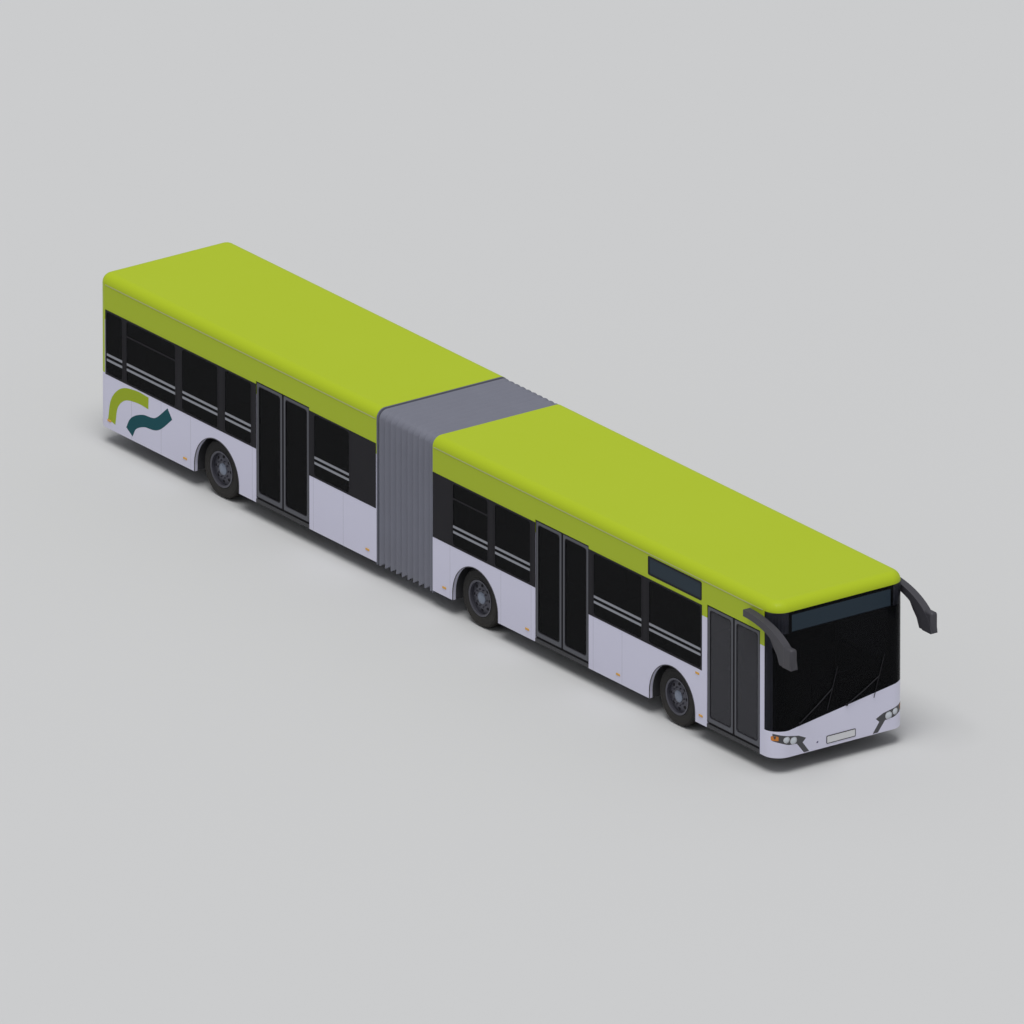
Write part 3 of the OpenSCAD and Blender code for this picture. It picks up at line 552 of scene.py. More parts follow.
def buildWheelTrim(nodeName, body):
    # hub cap, nuts, rim flange, and dark discs of painted shade in the hand holes, on the outer face of a wheel
    w = wheelKit
    lo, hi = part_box(nodeName)
    tyreLo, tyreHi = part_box(nodeName.replace("rim", "tyre"))
    side = 1 if lo.y > 0 else -1
    centre = (tyreLo + tyreHi) / 2
    wheelY = max(abs(tyreLo.y), abs(tyreHi.y)) - tyreKit["width"] / 2
    place = lambda r, a, d: (centre.x + r * math.cos(a), side * (wheelY + d), centre.z + r * math.sin(a))
    face = w["discFace"]
    bm = bmesh.new()
    addTurned(bm, [(0.0001, face + 0.030), (0.045, face + 0.029), (0.080, face + 0.022), (0.098, face + 0.010),
                   (w["capRadius"], face - 0.01), (w["capRadius"] - 0.03, face - 0.02)], place, 48, closed=False)
    makePiece(nodeName + "_cap", bm, hubSteel, body)
    flange, seat = bmesh.new(), tyreKit["rimSeat"]
    addTurned(flange, [(seat - 0.022, 0.085), (seat - 0.020, 0.122), (seat - 0.006, 0.134), (seat + 0.012, 0.136),
                       (seat + 0.012, 0.128), (seat, 0.122), (seat - 0.004, 0.085)], place, 72)
    near, far = w["coneInner"], w["coneOuter"]
    cone = [(near - 0.07, face), (near - 0.005, face), (near + 0.01, face - 0.008), (far, 0.072), (far, 0.055),
            (near - 0.07, face - 0.02)]
    addTurned(flange, cone, place, 72)
    outwards = Matrix.Rotation(-side * math.pi / 2, 4, "X")
    turn = Matrix.Translation((centre.x, side * (wheelY + face), centre.z)) @ outwards
    nut = bmesh.new()
    bmesh.ops.create_cone(nut, cap_ends=True, segments=6, radius1=0.016, radius2=0.015, depth=0.024,
                          matrix=Matrix.Translation((0, 0, 0.010)))
    bmesh.ops.create_cone(nut, cap_ends=True, segments=10, radius1=0.008, radius2=0.006, depth=0.016,
                          matrix=Matrix.Translation((0, 0, 0.028)))
    absorb(flange, grow(ringTree, nut, rimPaint, Count=w["nutCount"], Radius=w["nutCircle"]), turn)
    makePiece(nodeName + "_flange", flange, rimPaint, body)
    # the hand holes are dark discs set into the wheel face: painted shade where the wheel is open
    hole = bmesh.new()
    bmesh.ops.create_cone(hole, cap_ends=True, segments=20, radius1=0.027, radius2=0.027, depth=0.006)
    bmesh.ops.rotate(hole, verts=hole.verts, matrix=Matrix.Rotation(math.radians(18), 3, "Y"))
    holes = bmesh.new()
    absorb(holes, grow(ringTree, hole, blackRubberAndHoleShade, Count=w["holeCount"], Radius=w["holeCircle"]),
           turn @ Matrix.Translation((0, 0, -0.012)))
    makePiece(nodeName + "_holes", holes, blackRubberAndHoleShade, body)


for rimName, wheelBody in rimNodes.items():
    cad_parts[rimName].data.materials[0] = rimPaint
    buildWheelTrim(rimName, wheelBody)
print("wheel trims made")


# ---- doors ----

doorKit = {"frame": 0.060, "seal": 0.016, "corner": 0.05, "outer": 1.270, "inner": 1.230, "glass": 0.006,
           "paneLow": 0.09, "arms": (0.5, 1.35, 2.15), "columnRadius": 0.018}


def buildLeaf(nodeName, lightGlass):
    # a framed glass leaf with rubber edges, a grab bar, and its turning column
    k = doorKit
    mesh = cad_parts[nodeName].data
    skin = [v.co for v in mesh.vertices if abs(v.co.y) > k["inner"] + 0.001]
    x0, x1 = min(v.x for v in skin), max(v.x for v in skin)
    z0, z1 = min(v.z for v in skin), max(v.z for v in skin)
    column = [v.co for v in mesh.vertices if v.co.z > z1 + 0.001]
    cx = sum(v.x for v in column) / len(column)
    cy = sum(v.y for v in column) / len(column)
    cz0, cz1 = min(v.co.z for v in mesh.vertices), max(v.co.z for v in mesh.vertices)
    place = lambda a, b, d: (a, -k["outer"] + d, b)
    deep = k["outer"] - k["inner"]
    edge, inset = k["seal"], k["frame"]
    outerLine = roundRect(x0 + edge, x1 - edge, z0 + edge, z1 - edge, 0.012)
    innerLine = roundRect(x0 + inset, x1 - inset, z0 + k["paneLow"], z1 - inset, k["corner"])
    body = nodeName.replace("_leaf", "")
    bm = bmesh.new()
    addRing(bm, outerLine, innerLine, place, 0.0, deep)
    for z in k["arms"]:
        addBox(bm, (cx - 0.012, -k["inner"] - 0.004, z - 0.03), (cx + 0.012, cy, z + 0.03))
    addTube(bm, [(cx, cy, cz0), (cx, cy, cz1)], k["columnRadius"], 16)
    makePiece(nodeName + "_frame", bm, leafPaint, body, bevel=0.004, hides=(nodeName,))
    bm = bmesh.new()
    addRing(bm, roundRect(x0, x1, z0, z1, 0.008), outerLine, place, 0.004, deep - 0.004)
    addRing(bm, innerLine, roundRect(x0 + inset + 0.012, x1 - inset - 0.012, z0 + k["paneLow"] + 0.012,
                                     z1 - inset - 0.012, k["corner"]), place, -0.001, 0.022)
    makePiece(nodeName + "_seals", bm, blackRubberAndHoleShade, body)
    bm = bmesh.new()
    addPrism(bm, roundRect(x0 + inset - 0.004, x1 - inset + 0.004, z0 + k["paneLow"] - 0.004, z1 - inset + 0.004,
                           k["corner"]), place, 0.010, 0.010 + k["glass"])
    makePiece(nodeName + "_pane", bm, doorGlass if lightGlass else tintedGlass, body)
    bm = bmesh.new()
    free = x0 + 0.09 if abs(cx - x0) > abs(cx - x1) else x1 - 0.09
    y = -k["inner"] + 0.030
    addTube(bm, [(free, -k["inner"] - 0.004, 0.95), (free, y - 0.008, 0.955), (free, y, 0.975), (free, y, 1.675),
                 (free, y - 0.008, 1.695), (free, -k["inner"] - 0.004, 1.70)], 0.012, 10)
    makePiece(nodeName + "_grab", bm, yellowGrab, body)


doorGlass = makeMaterial("doorGlass", (0.16, 0.16, 0.18), 0.04, transmission=0.7, specular=0.3, ior=1.12,
                         patch=(0.5, 0.0), grain=(30.0, 0.004))
for door in ("front", "mid", "rear"):
    for leafSide in ("fore", "aft"):
        buildLeaf(f"{door}_door_{leafSide}_leaf", door == "front")
print("doors made")


# ---- folding bellows ----

bellowsKit = {"folds": 10, "depth": 0.055, "inset": 0.006, "points": 14}


def bellowsLoop(bm, x, inset):
    # one closed line round the section, pulled in by inset
    low, side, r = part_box("bellows")[0].z + inset, halfWidth - inset, coveRadius - inset
    line = []
    for s in (-1, 1):
        corner = []
        for k in range(bellowsKit["points"]):
            t = math.pi / 2 * k / (bellowsKit["points"] - 1)
            corner.append((s * (halfWidth - coveRadius + r * math.cos(t)), eaveZ + r * math.sin(t)))
        wall = [(s * side, low + (eaveZ - low) * k / 6) for k in range(6)]
        half = wall + corner
        line = half if s == -1 else line + half[::-1]
    floorLine = [(side - 2 * side * k / 6, low) for k in range(1, 6)]
    return [bm.verts.new((x, y, z)) for y, z in line + floorLine]


def buildBellows():
    k = bellowsKit
    bm = bmesh.new()
    span = frontEnd - rearStart
    profile = []
    for i in range(k["folds"]):
        for share, inset in ((0.0, k["depth"]), (0.12, k["depth"] - 0.006), (0.40, k["inset"] + 0.006),
                             (0.50, k["inset"]), (0.60, k["inset"] + 0.006), (0.88, k["depth"] - 0.006)):
            profile.append(((i + share) / k["folds"], inset))
    profile.append((1.0, k["depth"]))
    outer = [(frontEnd - f * span, inset) for f, inset in profile]
    inner = [(x, inset + 0.012) for x, inset in outer]
    loops = [bellowsLoop(bm, x, inset) for x, inset in outer + inner[::-1]]
    n = len(loops[0])
    for a, b in zip(loops, loops[1:] + loops[:1]):
        for i in range(n):
            bm.faces.new((a[i], a[(i + 1) % n], b[(i + 1) % n], b[i]))
    bmesh.ops.recalc_face_normals(bm, faces=bm.faces)
    mesh = bpy.data.meshes.new("bellows_folds")
    bm.to_mesh(mesh)
    bm.free()
    piece = dressPiece("bellows_folds", mesh, bellowsCloth, None, crease=25, hides=("bellows",))
    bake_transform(piece)
    for x, d, body in ((frontEnd, -1, "front_section"), (rearStart, 1, "rear_section")):
        bm = bmesh.new()
        rows = [bellowsLoop(bm, x + t * d, inset) for t, inset in
                ((-0.001, 0.004), (0.016, 0.004), (0.016, k["depth"] + 0.02), (-0.001, k["depth"] + 0.02))]
        for a, b in zip(rows, rows[1:] + rows[:1]):
            for i in range(len(a)):
                bm.faces.new((a[i], a[(i + 1) % len(a)], b[(i + 1) % len(a)], b[i]))
        makePiece("bellows_frame_" + body[:5].strip("_"), bm, bellowsCloth, body)


buildBellows()
print("bellows made")


# ---- glazing surrounds, blank panels and seams on the sides ----

glazingKit = {"side": 0.030, "level": 0.026, "proud": 0.003, "gap": 0.2, "hopper": 0.28,
              "hopperPanes": ((8.4, 9.1), (17.1, 17.4)),
              "blank": ((8.507, 9.005), (10.52, 11.21)),
              "doorPosts": ((4.774, 4.884), (6.290, 6.399), (12.198, 12.310), (13.736, 13.845))}
sides = (("front_section", "front_windows"), ("rear_section", "rear_windows"))


def buildGlazing(body, nodeName):
    k = glazingKit
    black, rails = bmesh.new(), bmesh.new()
    panes = [b for b in nodeParts(nodeName) if max(abs(b[0].y), abs(b[1].y)) > halfWidth - 0.02 and
             abs(b[1].y - b[0].y) < 0.1]
    for side in (-1, 1):
        place = onSide(side)
        row = sorted([b for b in panes if b[0].y * side > 0], key=lambda b: b[0].x)
        for lo, hi in row:
            outer = roundRect(lo.x - 0.004, hi.x + 0.004, windowLow - 0.004, windowTop + 0.004, 0.004)
            inner = roundRect(lo.x + k["side"], hi.x - k["side"], windowLow + k["level"], windowTop - k["level"], 0.05)
            addRing(black, outer, inner, place, -0.004, k["proud"])
            if any(near < noseTip - lo.x < far for near, far in k["hopperPanes"]):
                top = windowTop - k["hopper"]
                addBox(rails, place(lo.x + k["side"], top - 0.012, -0.004), place(hi.x - k["side"], top + 0.012, 0.006))
        for behind, ahead in zip(row, row[1:]):
            x0, x1 = behind[1].x, ahead[0].x
            if x1 - x0 < k["gap"]:
                addBox(black, place(x0 - 0.002, windowLow - 0.004, -0.004),
                       place(x1 + 0.002, windowTop + 0.004, k["proud"]))
        for near, far in k["blank"]:
            if (body == "front_section") == (near < 9.0):
                addPrism(black, roundRect(noseTip - far, noseTip - near, windowLow - 0.004, windowTop + 0.004, 0.006),
                         place, -0.004, k["proud"])
    for near, far in k["doorPosts"]:
        if (body == "front_section") == (near < 9.0):
            addBox(black, onSide(-1)(noseTip - far, windowLow - 0.004, -0.004),
                   onSide(-1)(noseTip - near, windowTop + 0.004, k["proud"]))
    makePiece(nodeName + "_surrounds", black, blackRubberAndHoleShade, body, crease=30)
    makePiece(nodeName + "_hoppers", rails, blackRubberAndHoleShade, body, bevel=0.002)


for sectionBody, windowNode in sides:
    buildGlazing(sectionBody, windowNode)

trimKit = {"gutterHeight": 0.016, "gutterDeep": 0.007, "seam": 0.004, "archRadius": 0.600, "archTop": 1.000,
           "markerLow": ((2.02, 1.10), (1.93, 0.42), (4.1, 0.42), (6.5, 0.42), (8.7, 0.42)),
           "markerRear": ((10.75, 0.42), (15.65, 0.42), (17.7, 0.42)), "seamsFront": (4.0, 4.76, 6.4, 7.2, 8.55),
           "seamsRear": (11.4, 12.2, 13.84, 15.5, 16.3, 17.1)}
axlePlaces = [noseTip - sum(b.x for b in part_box(n)) / 2
              for n in ("front_right_tyre", "middle_right_tyres", "rear_right_tyres")]
sectionSpans = {"front_section": (0.32, 8.98), "rear_section": (10.53, 17.80)}


def buildSideTrim(body):
    k = trimKit
    s0, s1 = sectionSpans[body]
    gutter, markers, lips, seams = [bmesh.new() for i in range(4)]
    spots = k["markerLow"] if body == "front_section" else k["markerRear"]
    for side in (-1, 1):
        place = onSide(side)
        addBox(gutter, place(noseTip - s1, eaveZ - k["gutterHeight"] / 2, -0.002),
               place(noseTip - s0, eaveZ + k["gutterHeight"] / 2, k["gutterDeep"]))
        for s, z in spots:
            addPrism(markers, roundRect(noseTip - s - 0.05, noseTip - s + 0.05, z - 0.018, z + 0.018, 0.012), place,
                     -0.002, 0.009)
        for axle in axlePlaces:
            if s0 < axle < s1:
                x, z0, r = noseTip - axle, k["archTop"] - k["archRadius"], k["archRadius"]
                arc = [place(x + r, skirtZ + 0.005, 0.001)]
                arc += [place(x + r * math.cos(math.radians(t)), z0 + r * math.sin(math.radians(t)), 0.001)
                        for t in range(0, 181, 6)]
                addTube(lips, arc + [place(x - r, skirtZ + 0.005, 0.001)], 0.007, 8)
    for s in k["seamsFront"] if body == "front_section" else k["seamsRear"]:
        for side in (-1, 1):
            addBox(seams, onSide(side)(noseTip - s - k["seam"] / 2, skirtZ + 0.01, -0.002),
                   onSide(side)(noseTip - s + k["seam"] / 2, windowLow - 0.02, 0.0006))
    makePiece(body + "_gutter", gutter, gutterHighlightPaint, body, bevel=0.003)
    makePiece(body + "_markers", markers, markerAmber, body, bevel=0.003)
    makePiece(body + "_arch_lips", lips, grainedPlastic, body)
    makePiece(body + "_seams", seams, seamGrey, body)


# the gutter is painted paler than the lime body: a painted highlight along the drip rail
gutterHighlightPaint = makeMaterial("gutterHighlightPaint", (0.40, 0.43, 0.16), 0.35, patch=(0.6, 0.1), coat=0.2)
seamGrey = makeMaterial("seamGrey", (0.36, 0.36, 0.42), 0.6, patch=(0.6, 0.1))
for sectionBody in sectionSpans:
    buildSideTrim(sectionBody)
print("side trims made")


# ---- nose: lenses, plate, wipers, sign bezels ----

noseKit = {"orange": (1.205, 0.606, 0.040), "round": ((1.045, 0.575, 0.046), (0.915, 0.536, 0.056)),
           "plate": (-0.27, 0.27, 0.345, 0.455), "wiperRoots": (-0.80, 0.10)}


def buildNose():
    k = noseKit
    clear, chrome, orange, black, plate = [bmesh.new() for i in range(5)]
    for side in (-1, 1):
        for y, z, r in k["round"]:
            at = lambda rad, ang, d: onNose(side * y + rad * math.cos(ang), z + rad * math.sin(ang), d)
            addTurned(chrome, [(r + 0.008, -0.004), (r + 0.008, 0.006), (r, 0.008), (r, -0.004)], at, 32)
            addTurned(clear, [(0.0001, 0.012), (r * 0.5, 0.011), (r * 0.85, 0.007), (r, 0.001)], at, 32, closed=False)
        y, z, r = k["orange"]
        outline = roundRect(y - r, y + r, z - r, z + r * 0.9, 0.014)
        addPrism(orange, [(side * a, b) for a, b in outline], onNose, -0.004, 0.007)
    y0, y1, z0, z1 = k["plate"]
    addPrism(plate, roundRect(y0, y1, z0, z1, 0.012), onNose, 0.001, 0.005)
    addRing(black, roundRect(y0 - 0.010, y1 + 0.010, z0 - 0.010, z1 + 0.010, 0.016), roundRect(y0, y1, z0, z1, 0.012),
            onNose, 0.0, 0.007)
    for y in k["wiperRoots"]:
        root, tip = Vector((noseTip + 0.016, y, 0.90 if y > 0 else 0.80)), Vector((noseTip + 0.018, y + 0.62, 1.24))
        addTube(black, [root, root.lerp(tip, 0.5) + Vector((0.012, 0, 0)), tip], 0.009, 8)
        addTube(black, [tip + Vector((0, -0.10, -0.34)), tip + Vector((0.0, 0.10, 0.34))], 0.006, 6)
        addTube(black, [root - Vector((0.02, 0, 0)), root + Vector((0.010, 0, 0))], 0.018, 12)
    makePiece("headlight_rings", chrome, lampChrome, "front_section")
    makePiece("headlight_lenses", clear, lampGlass, "front_section")
    makePiece("front_indicators", orange, amberLens, "front_section", bevel=0.002)
    makePiece("front_plate", plate, plateWhite, "front_section")
    makePiece("front_plate_and_wipers", black, blackRubberAndHoleShade, "front_section")
    bezel = bmesh.new()
    signs = [b for b in nodeParts("route_signs") if abs(b[1].y - b[0].y) < 0.1]
    for lo, hi in signs:
        side = 1 if lo.y > 0 else -1
        addRing(bezel, roundRect(lo.x - 0.02, hi.x + 0.02, lo.z - 0.02, hi.z + 0.02, 0.03),
                roundRect(lo.x + 0.012, hi.x - 0.012, lo.z + 0.012, hi.z - 0.012, 0.02), onSide(side), -0.003, 0.003)
    makePiece("sign_bezels", bezel, blackRubberAndHoleShade, "front_section")


plateWhite = makeMaterial("plateWhite", (0.70, 0.70, 0.72), 0.4, patch=(3.0, 0.1))
buildNose()
print("nose made")


# ---- tail: lamp rings, louvres, flap, plate ----

tailKit = {"plate": (-0.27, 0.27, 0.50, 0.61), "flap": (-0.80, 0.80, 0.42, 1.02), "louvres": 9,
           "louvreBox": (-0.62, 0.62), "handle": 0.16}


def buildTail():
    k = tailKit
    place = onTail
    black, plate, rings = bmesh.new(), bmesh.new(), bmesh.new()
    y0, y1, z0, z1 = k["flap"]
    addRing(black, roundRect(y0, y1, z0, z1, 0.05), roundRect(y0 + 0.008, y1 - 0.008, z0 + 0.008, z1 - 0.008, 0.045),
            place, -0.002, 0.002)
    slat = bmesh.new()
    addBox(slat, place(k["louvreBox"][0], -0.012, -0.003), place(k["louvreBox"][1], 0.012, 0.009))
    absorb(black, grow(rowTree, slat, blackRubberAndHoleShade, Count=k["louvres"], Start=(0.0, 0.0, 0.66), Step=(0.0, 0.0, 0.034)))
    addTube(black, [place(-k["handle"], 0.975, -0.002), place(-k["handle"], 0.975, 0.012),
                    place(k["handle"], 0.975, 0.012), place(k["handle"], 0.975, -0.002)], 0.007, 8)
    y0, y1, z0, z1 = k["plate"]
    addPrism(plate, roundRect(y0, y1, z0, z1, 0.012), place, -0.001, 0.006)
    addRing(black, roundRect(y0 - 0.01, y1 + 0.01, z0 - 0.01, z1 + 0.01, 0.016), roundRect(y0, y1, z0, z1, 0.012),
            place, -0.002, 0.008)
    rearPane = [b for b in nodeParts("rear_windows") if abs(b[1].y - b[0].y) > 0.5]
    for lo, hi in rearPane:
        addRing(black, roundRect(lo.y - 0.004, hi.y + 0.004, lo.z - 0.004, hi.z + 0.004, 0.03),
                roundRect(lo.y + 0.03, hi.y - 0.03, lo.z + 0.03, hi.z - 0.03, 0.07), place, -0.003, 0.003)
    for lo, hi in nodeParts("tail_lamps"):
        addRing(rings, roundRect(lo.y - 0.006, hi.y + 0.006, lo.z - 0.006, hi.z + 0.006, 0.02),
                roundRect(lo.y + 0.004, hi.y - 0.004, lo.z + 0.004, hi.z - 0.004, 0.016), place, -0.003, 0.004)
        if hi.z < 1.3:
            for i in (1, 2):
                z = lo.z + (hi.z - lo.z) * i / 3
                addBox(rings, place(lo.y, z - 0.006, -0.003), place(hi.y, z + 0.006, 0.003))
    makePiece("tail_flap_and_louvres", black, blackRubberAndHoleShade, "rear_section")
    makePiece("tail_lamp_rings", rings, lampHousing, "rear_section")
    makePiece("tail_plate", plate, plateWhite, "rear_section")


buildTail()
print("tail made")


# ---- film ribbons on the rear corner of both sides ----

ribbonKit = {"width": 0.20, "steps": 40}
ribbonLines = (
    (limeFilm, ((17.64, 0.42), (17.56, 0.76), (17.32, 0.98), (16.96, 1.05), (16.64, 1.04))),
    (tealFilm, ((17.16, 0.40), (17.04, 0.58), (16.78, 0.70), (16.42, 0.76), (16.06, 1.04))),
)


def ribbonPath(points, steps):
    # a smooth line through the points
    pts = [Vector((s, z, 0)) for s, z in points]
    pts = [2 * pts[0] - pts[1]] + pts + [2 * pts[-1] - pts[-2]]
    line = []
    for a, b, c, d in zip(pts, pts[1:], pts[2:], pts[3:]):
        for i in range(steps // 4):
            t = i / (steps // 4)
            line.append(0.5 * (2 * b + (c - a) * t + (2 * a - 5 * b + 4 * c - d) * t * t +
                               (3 * b - a - 3 * c + d) * t ** 3))
    return line + [pts[-2]]


def buildRibbons():
    for i, (film, points) in enumerate(ribbonLines):
        bm = bmesh.new()
        line = ribbonPath(points, ribbonKit["steps"])
        for side in (-1, 1):
            place = onSide(side)
            rows = []
            for k, p in enumerate(line):
                ahead = line[min(k + 1, len(line) - 1)] - line[max(k - 1, 0)]
                across = Vector((-ahead.y, ahead.x, 0)).normalized() * ribbonKit["width"] / 2
                rows.append([bm.verts.new(place(noseTip - q.x, q.y, d)) for q, d in
                             ((p + across, -0.001), (p + across, 0.0009), (p - across, 0.0009), (p - across, -0.001))])
            for p, q in zip(rows, rows[1:]):
                for j in range(4):
                    bm.faces.new((p[j], p[(j + 1) % 4], q[(j + 1) % 4], q[j]))
            bm.faces.new(rows[0])
            bm.faces.new(rows[-1])
        makePiece(f"side_ribbon_{i}", bm, film, "rear_section")


buildRibbons()
print("ribbons made")


# ---- mirrors: glass faces and softened edges ----

mirrorKit = {"headLength": 0.225, "headHeight": 0.34, "glassLow": 0.045, "glassTop": 0.30, "glassHalf": 0.040,
             "middle": 0.07}
softEdges = (("mirrors", 0.030), ("headlights", 0.003), ("driver_cab", 0.006), ("tail_lamps", 0.004))


def buildMirrors():
    k = mirrorKit
    glass = bmesh.new()
    lo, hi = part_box("mirrors")
    for side in (-1, 1):
        y = side * (hi.y - k["middle"])
        x, z0, z1 = hi.x - k["headLength"], lo.z + k["glassLow"], lo.z + k["glassTop"]
        addBox(glass, (x - 0.003, y - k["glassHalf"], z0), (x + 0.01, y + k["glassHalf"], z1))
    heads = bmesh.new()
    for side in (-1, 1):
        addBox(heads, (hi.x - k["headLength"], side * (halfWidth + 0.012), lo.z - 0.002),
               (hi.x + 0.004, side * (hi.y + 0.004), lo.z + k["headHeight"]))
    makePiece("mirror_heads", heads, grainedPlastic, "front_section", bevel=0.035)
    makePiece("mirror_glass", glass, mirrorGlass, "front_section", bevel=0.006)
    for nodeName, width in softEdges:
        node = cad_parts[nodeName]
        soft = node.modifiers.new("edges", "BEVEL")
        soft.width, soft.segments, soft.limit_method = width, 3, "ANGLE"
        soft.angle_limit = math.radians(50)


buildMirrors()
print("mirrors made")


# ---- seats: moulded shells stay, cloth pads go on them ----

padKit = {"inset": 0.025, "seatThick": 0.035, "backThick": 0.030, "cushionTop": 0.46, "backTop": 0.99, "slab": 0.06,
          "place": 0.42, "pressure": 4.0, "frames": 16, "cap": 0.012}


def addPad(bm, lo, hi, flatAxis):
    # a crowned pad: a box whose broad faces are split and swelled in the middle
    steps = 6
    a, b = [i for i in range(3) if i != flatAxis]
    grid = []
    for top in (0, 1):
        rows = []
        for i in range(steps + 1):
            row = []
            for j in range(steps + 1):
                u, v = i / steps, j / steps
                swell = (16 * u * (1 - u) * v * (1 - v)) ** 0.5
                pull = 1 - 0.03 * (4 * u * (1 - u)) if j in (0, steps) else 1
                p = [0, 0, 0]
                p[a] = lo[a] + (hi[a] - lo[a]) * u
                middleB = (lo[b] + hi[b]) / 2
                p[b] = middleB + (lo[b] + (hi[b] - lo[b]) * v - middleB) * pull
                p[flatAxis] = lo[flatAxis] + top * (hi[flatAxis] - lo[flatAxis]) * (0.45 + 0.55 * swell)
                row.append(bm.verts.new(p))
            rows.append(row)
        grid.append(rows)
    for rows in grid:
        for i in range(steps):
            for j in range(steps):
                bm.faces.new((rows[i][j], rows[i + 1][j], rows[i + 1][j + 1], rows[i][j + 1]))
    border = ([(i, 0) for i in range(steps)] + [(steps, j) for j in range(steps)] +
              [(i, steps) for i in range(steps, 0, -1)] + [(0, j) for j in range(steps, 0, -1)])
    p, q = [[rows[i][j] for i, j in border] for rows in grid]
    for i in range(len(p)):
        bm.faces.new((p[i], p[(i + 1) % len(p)], q[(i + 1) % len(p)], q[i]))


def padNode(nodeName, body):
    # every seat stands on the floor, so its cushion and back are found from the solid's lowest corner
    k = padKit
    bm = bmesh.new()
    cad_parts[nodeName].data.materials[0] = seatPlastic
    for lo, hi in nodeParts(nodeName):
        width, top = hi.y - lo.y, lo.z + k["cushionTop"]
        count = max(1, round(width / k["place"]))
        for i in range(count):
            y0, y1 = lo.y + width * i / count + k["inset"], lo.y + width * (i + 1) / count - k["inset"]
            front = lo.x + k["slab"]
            addPad(bm, (front + 0.035, y0, top - 0.001), (hi.x - 0.02, y1, top + k["seatThick"]), 2)
            addPad(bm, (front - 0.001, y0, top + 0.10), (front + k["backThick"], y1, lo.z + k["backTop"]), 0)
    if nodeName == "driver_seat":
        puffUp(bm)
    piece = makePiece(nodeName + "_pads", bm, seatCloth, body)


def puffUp(bm):
    # a short cloth simulation: air pressure swells the covers while their edges stay on the shell
    mesh = bpy.data.meshes.new("covers")
    bmesh.ops.subdivide_edges(bm, edges=bm.edges, cuts=1, use_grid_fill=True)
    bmesh.ops.recalc_face_normals(bm, faces=bm.faces)
    bm.to_mesh(mesh)
    covers = bpy.data.objects.new("covers", mesh)
    bpy.context.scene.collection.objects.link(covers)
    held = covers.vertex_groups.new(name="held")
    held.add([v.index for v in mesh.vertices if min(v.normal.z, v.normal.x) < -0.2], 1.0, "REPLACE")
    cloth = covers.modifiers.new("cloth", "CLOTH")
    cloth.settings.vertex_group_mass = "held"
    cloth.settings.use_pressure = True
    cloth.settings.uniform_pressure_force = padKit["pressure"]
    cloth.settings.mass = 0.2
    cloth.settings.effector_weights.gravity = 0
    cloth.settings.tension_stiffness = cloth.settings.compression_stiffness = 40
    cloth.settings.quality = 6
    cloth.collision_settings.use_collision = False
    cloth.point_cache.frame_end = padKit["frames"]
    for f in range(1, padKit["frames"] + 1):
        bpy.context.scene.frame_set(f)
    graph = bpy.context.evaluated_depsgraph_get()
    puffed = bpy.data.meshes.new_from_object(covers.evaluated_get(graph), depsgraph=graph)
    moves = []
    for before, after in zip(mesh.vertices, puffed.vertices):
        move = after.co - before.co
        moves.append(move.length)
        after.co = before.co + move * min(1, padKit["cap"] / max(move.length, 1e-9))
    print("covers moved by up to", round(max(moves), 4), "m, middle value", round(sorted(moves)[len(moves) // 2], 4))
    bm.clear()
    bm.from_mesh(puffed)
    bmesh.ops.subdivide_edges(bm, edges=bm.edges, cuts=1, use_grid_fill=True, smooth=0.5)
    bpy.data.objects.remove(covers)
    bpy.context.scene.frame_set(1)


for seatNode, seatBody, fill in (("front_seats", "front_section", 0.85), ("rear_seats", "rear_section", 0.85),
                                 ("driver_seat", "front_section", 0.9)):
    padNode(seatNode, seatBody)
print("seats made")


# ---- underside: air springs by the axles ----

springKit = {"y": 0.45, "spacing": 0.26, "low": 0.27, "radius": 0.075, "waist": 0.014, "rings": 6}
springs = (("front_springs", "front_section", 0.41), ("middle_springs", "front_section", 0.34),
           ("rear_springs", "rear_section", 0.34))


def buildUnderside():
    k = springKit
    for (name, body, z1), s in zip(springs, axlePlaces):
        bm = bmesh.new()
        for side in (-1, 1):
            for step in (-k["spacing"], k["spacing"]):
                x = noseTip - s + step
                place = lambda r, a, d: (x + r * math.cos(a), side * k["y"] + r * math.sin(a), d)
                rings = [(0.0001, k["low"])]
                for i in range(k["rings"] + 1):
                    z = k["low"] + (z1 - k["low"]) * i / k["rings"]
                    rings.append((k["radius"] + (k["waist"] if i % 2 else 0.0), z))
                addTurned(bm, rings + [(0.0001, z1)], place, 28, closed=False)
        makePiece(name, bm, tyreRubber, body)


buildUnderside()
print("underside made")


# ---- floor, light and camera ----

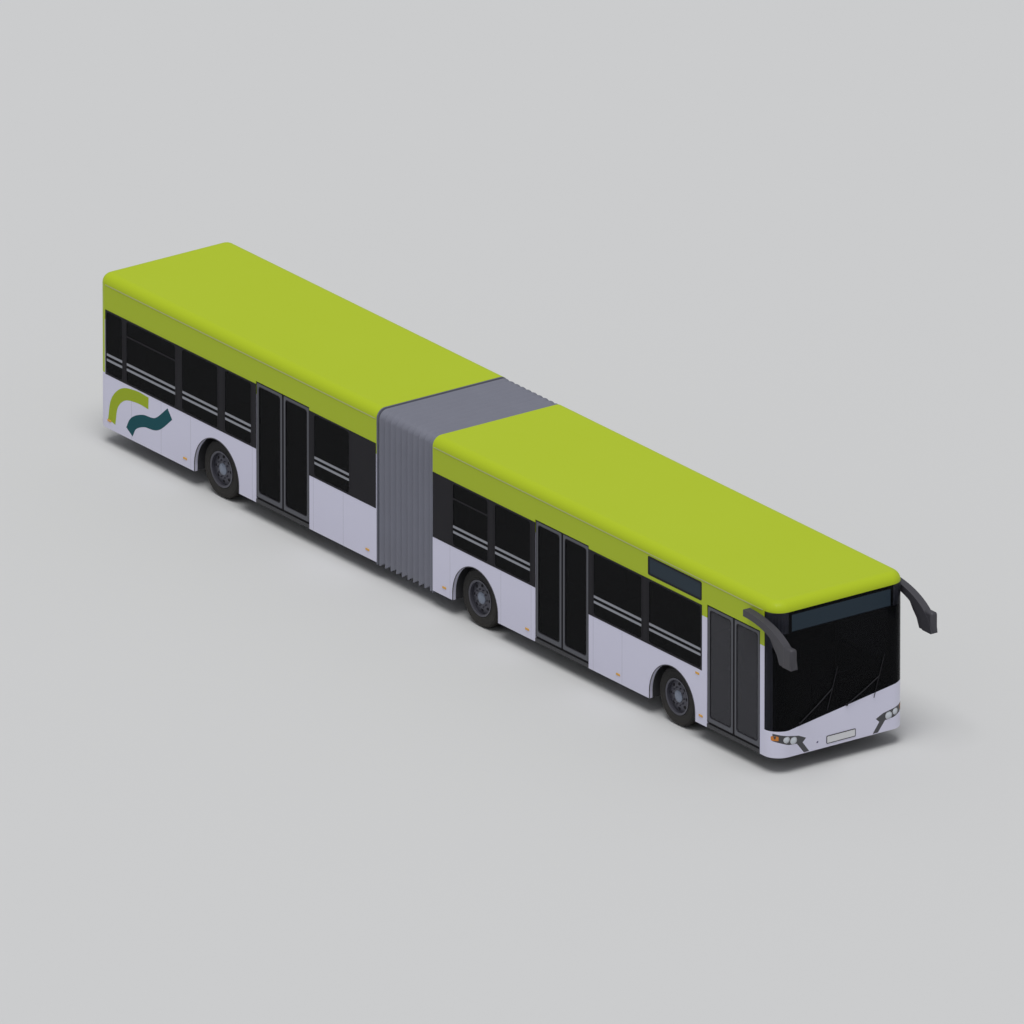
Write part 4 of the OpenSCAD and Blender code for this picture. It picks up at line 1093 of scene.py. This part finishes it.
studio = {
    "floorSize": 400.0, "floorColour": (0.62, 0.62, 0.62), "sky": (0.80, 0.82, 0.85), "skyStrength": 0.42,
    "sunStrength": 2.1, "sunAngle": 35.0, "sunFrom": (0.22, -0.22, 1.0), "lens": 1500.0, "azimuth": 53.96,
    "elevation": 21.14, "frameWidth": 15.948, "aim": (6.905, 0.0, 2.250),
}


def buildStudio():
    s = studio
    half = s["floorSize"] / 2
    bm = bmesh.new()
    bmesh.ops.create_grid(bm, x_segments=1, y_segments=1, size=half)
    mesh = bpy.data.meshes.new("studioFloor")
    bm.to_mesh(mesh)
    bm.free()
    mesh.materials.append(makeMaterial("floorPaint", s["floorColour"], 0.85, patch=(0.3, 0.05), specular=0.2))
    ground = bpy.data.objects.new("studioFloor", mesh)
    bpy.context.scene.collection.objects.link(ground)
    world = bpy.data.worlds.new("studioSky")
    world.use_nodes = True
    background = world.node_tree.nodes["Background"]
    background.inputs["Color"].default_value = (*s["sky"], 1)
    background.inputs["Strength"].default_value = s["skyStrength"]
    bpy.context.scene.world = world
    lamp = bpy.data.lights.new("softSun", "SUN")
    lamp.energy = s["sunStrength"]
    lamp.angle = math.radians(s["sunAngle"])
    sun = bpy.data.objects.new("softSun", lamp)
    sun.rotation_mode = "QUATERNION"
    sun.rotation_quaternion = Vector(s["sunFrom"]).to_track_quat("Z", "Y")
    bpy.context.scene.collection.objects.link(sun)
    camera = bpy.data.objects.new("camera", bpy.data.cameras.new("camera"))
    camera.data.lens = s["lens"]
    a, e = math.radians(s["azimuth"]), math.radians(s["elevation"])
    back = Vector((math.sin(a) * math.cos(e), -math.cos(a) * math.cos(e), math.sin(e)))
    aim = Vector((noseTip - s["aim"][0], s["aim"][1] - halfWidth, s["aim"][2]))
    distance = s["frameWidth"] / 2 / (camera.data.sensor_width / 2 / s["lens"])
    camera.location = aim + back * distance
    camera.rotation_mode = "QUATERNION"
    camera.rotation_quaternion = (-back).to_track_quat("-Z", "Y")
    camera.data.clip_start, camera.data.clip_end = 1.0, 5000.0
    bpy.context.scene.collection.objects.link(camera)
    bpy.context.scene.camera = camera
    bpy.context.scene.view_settings.view_transform = "Standard"


buildStudio()
print("studio made")
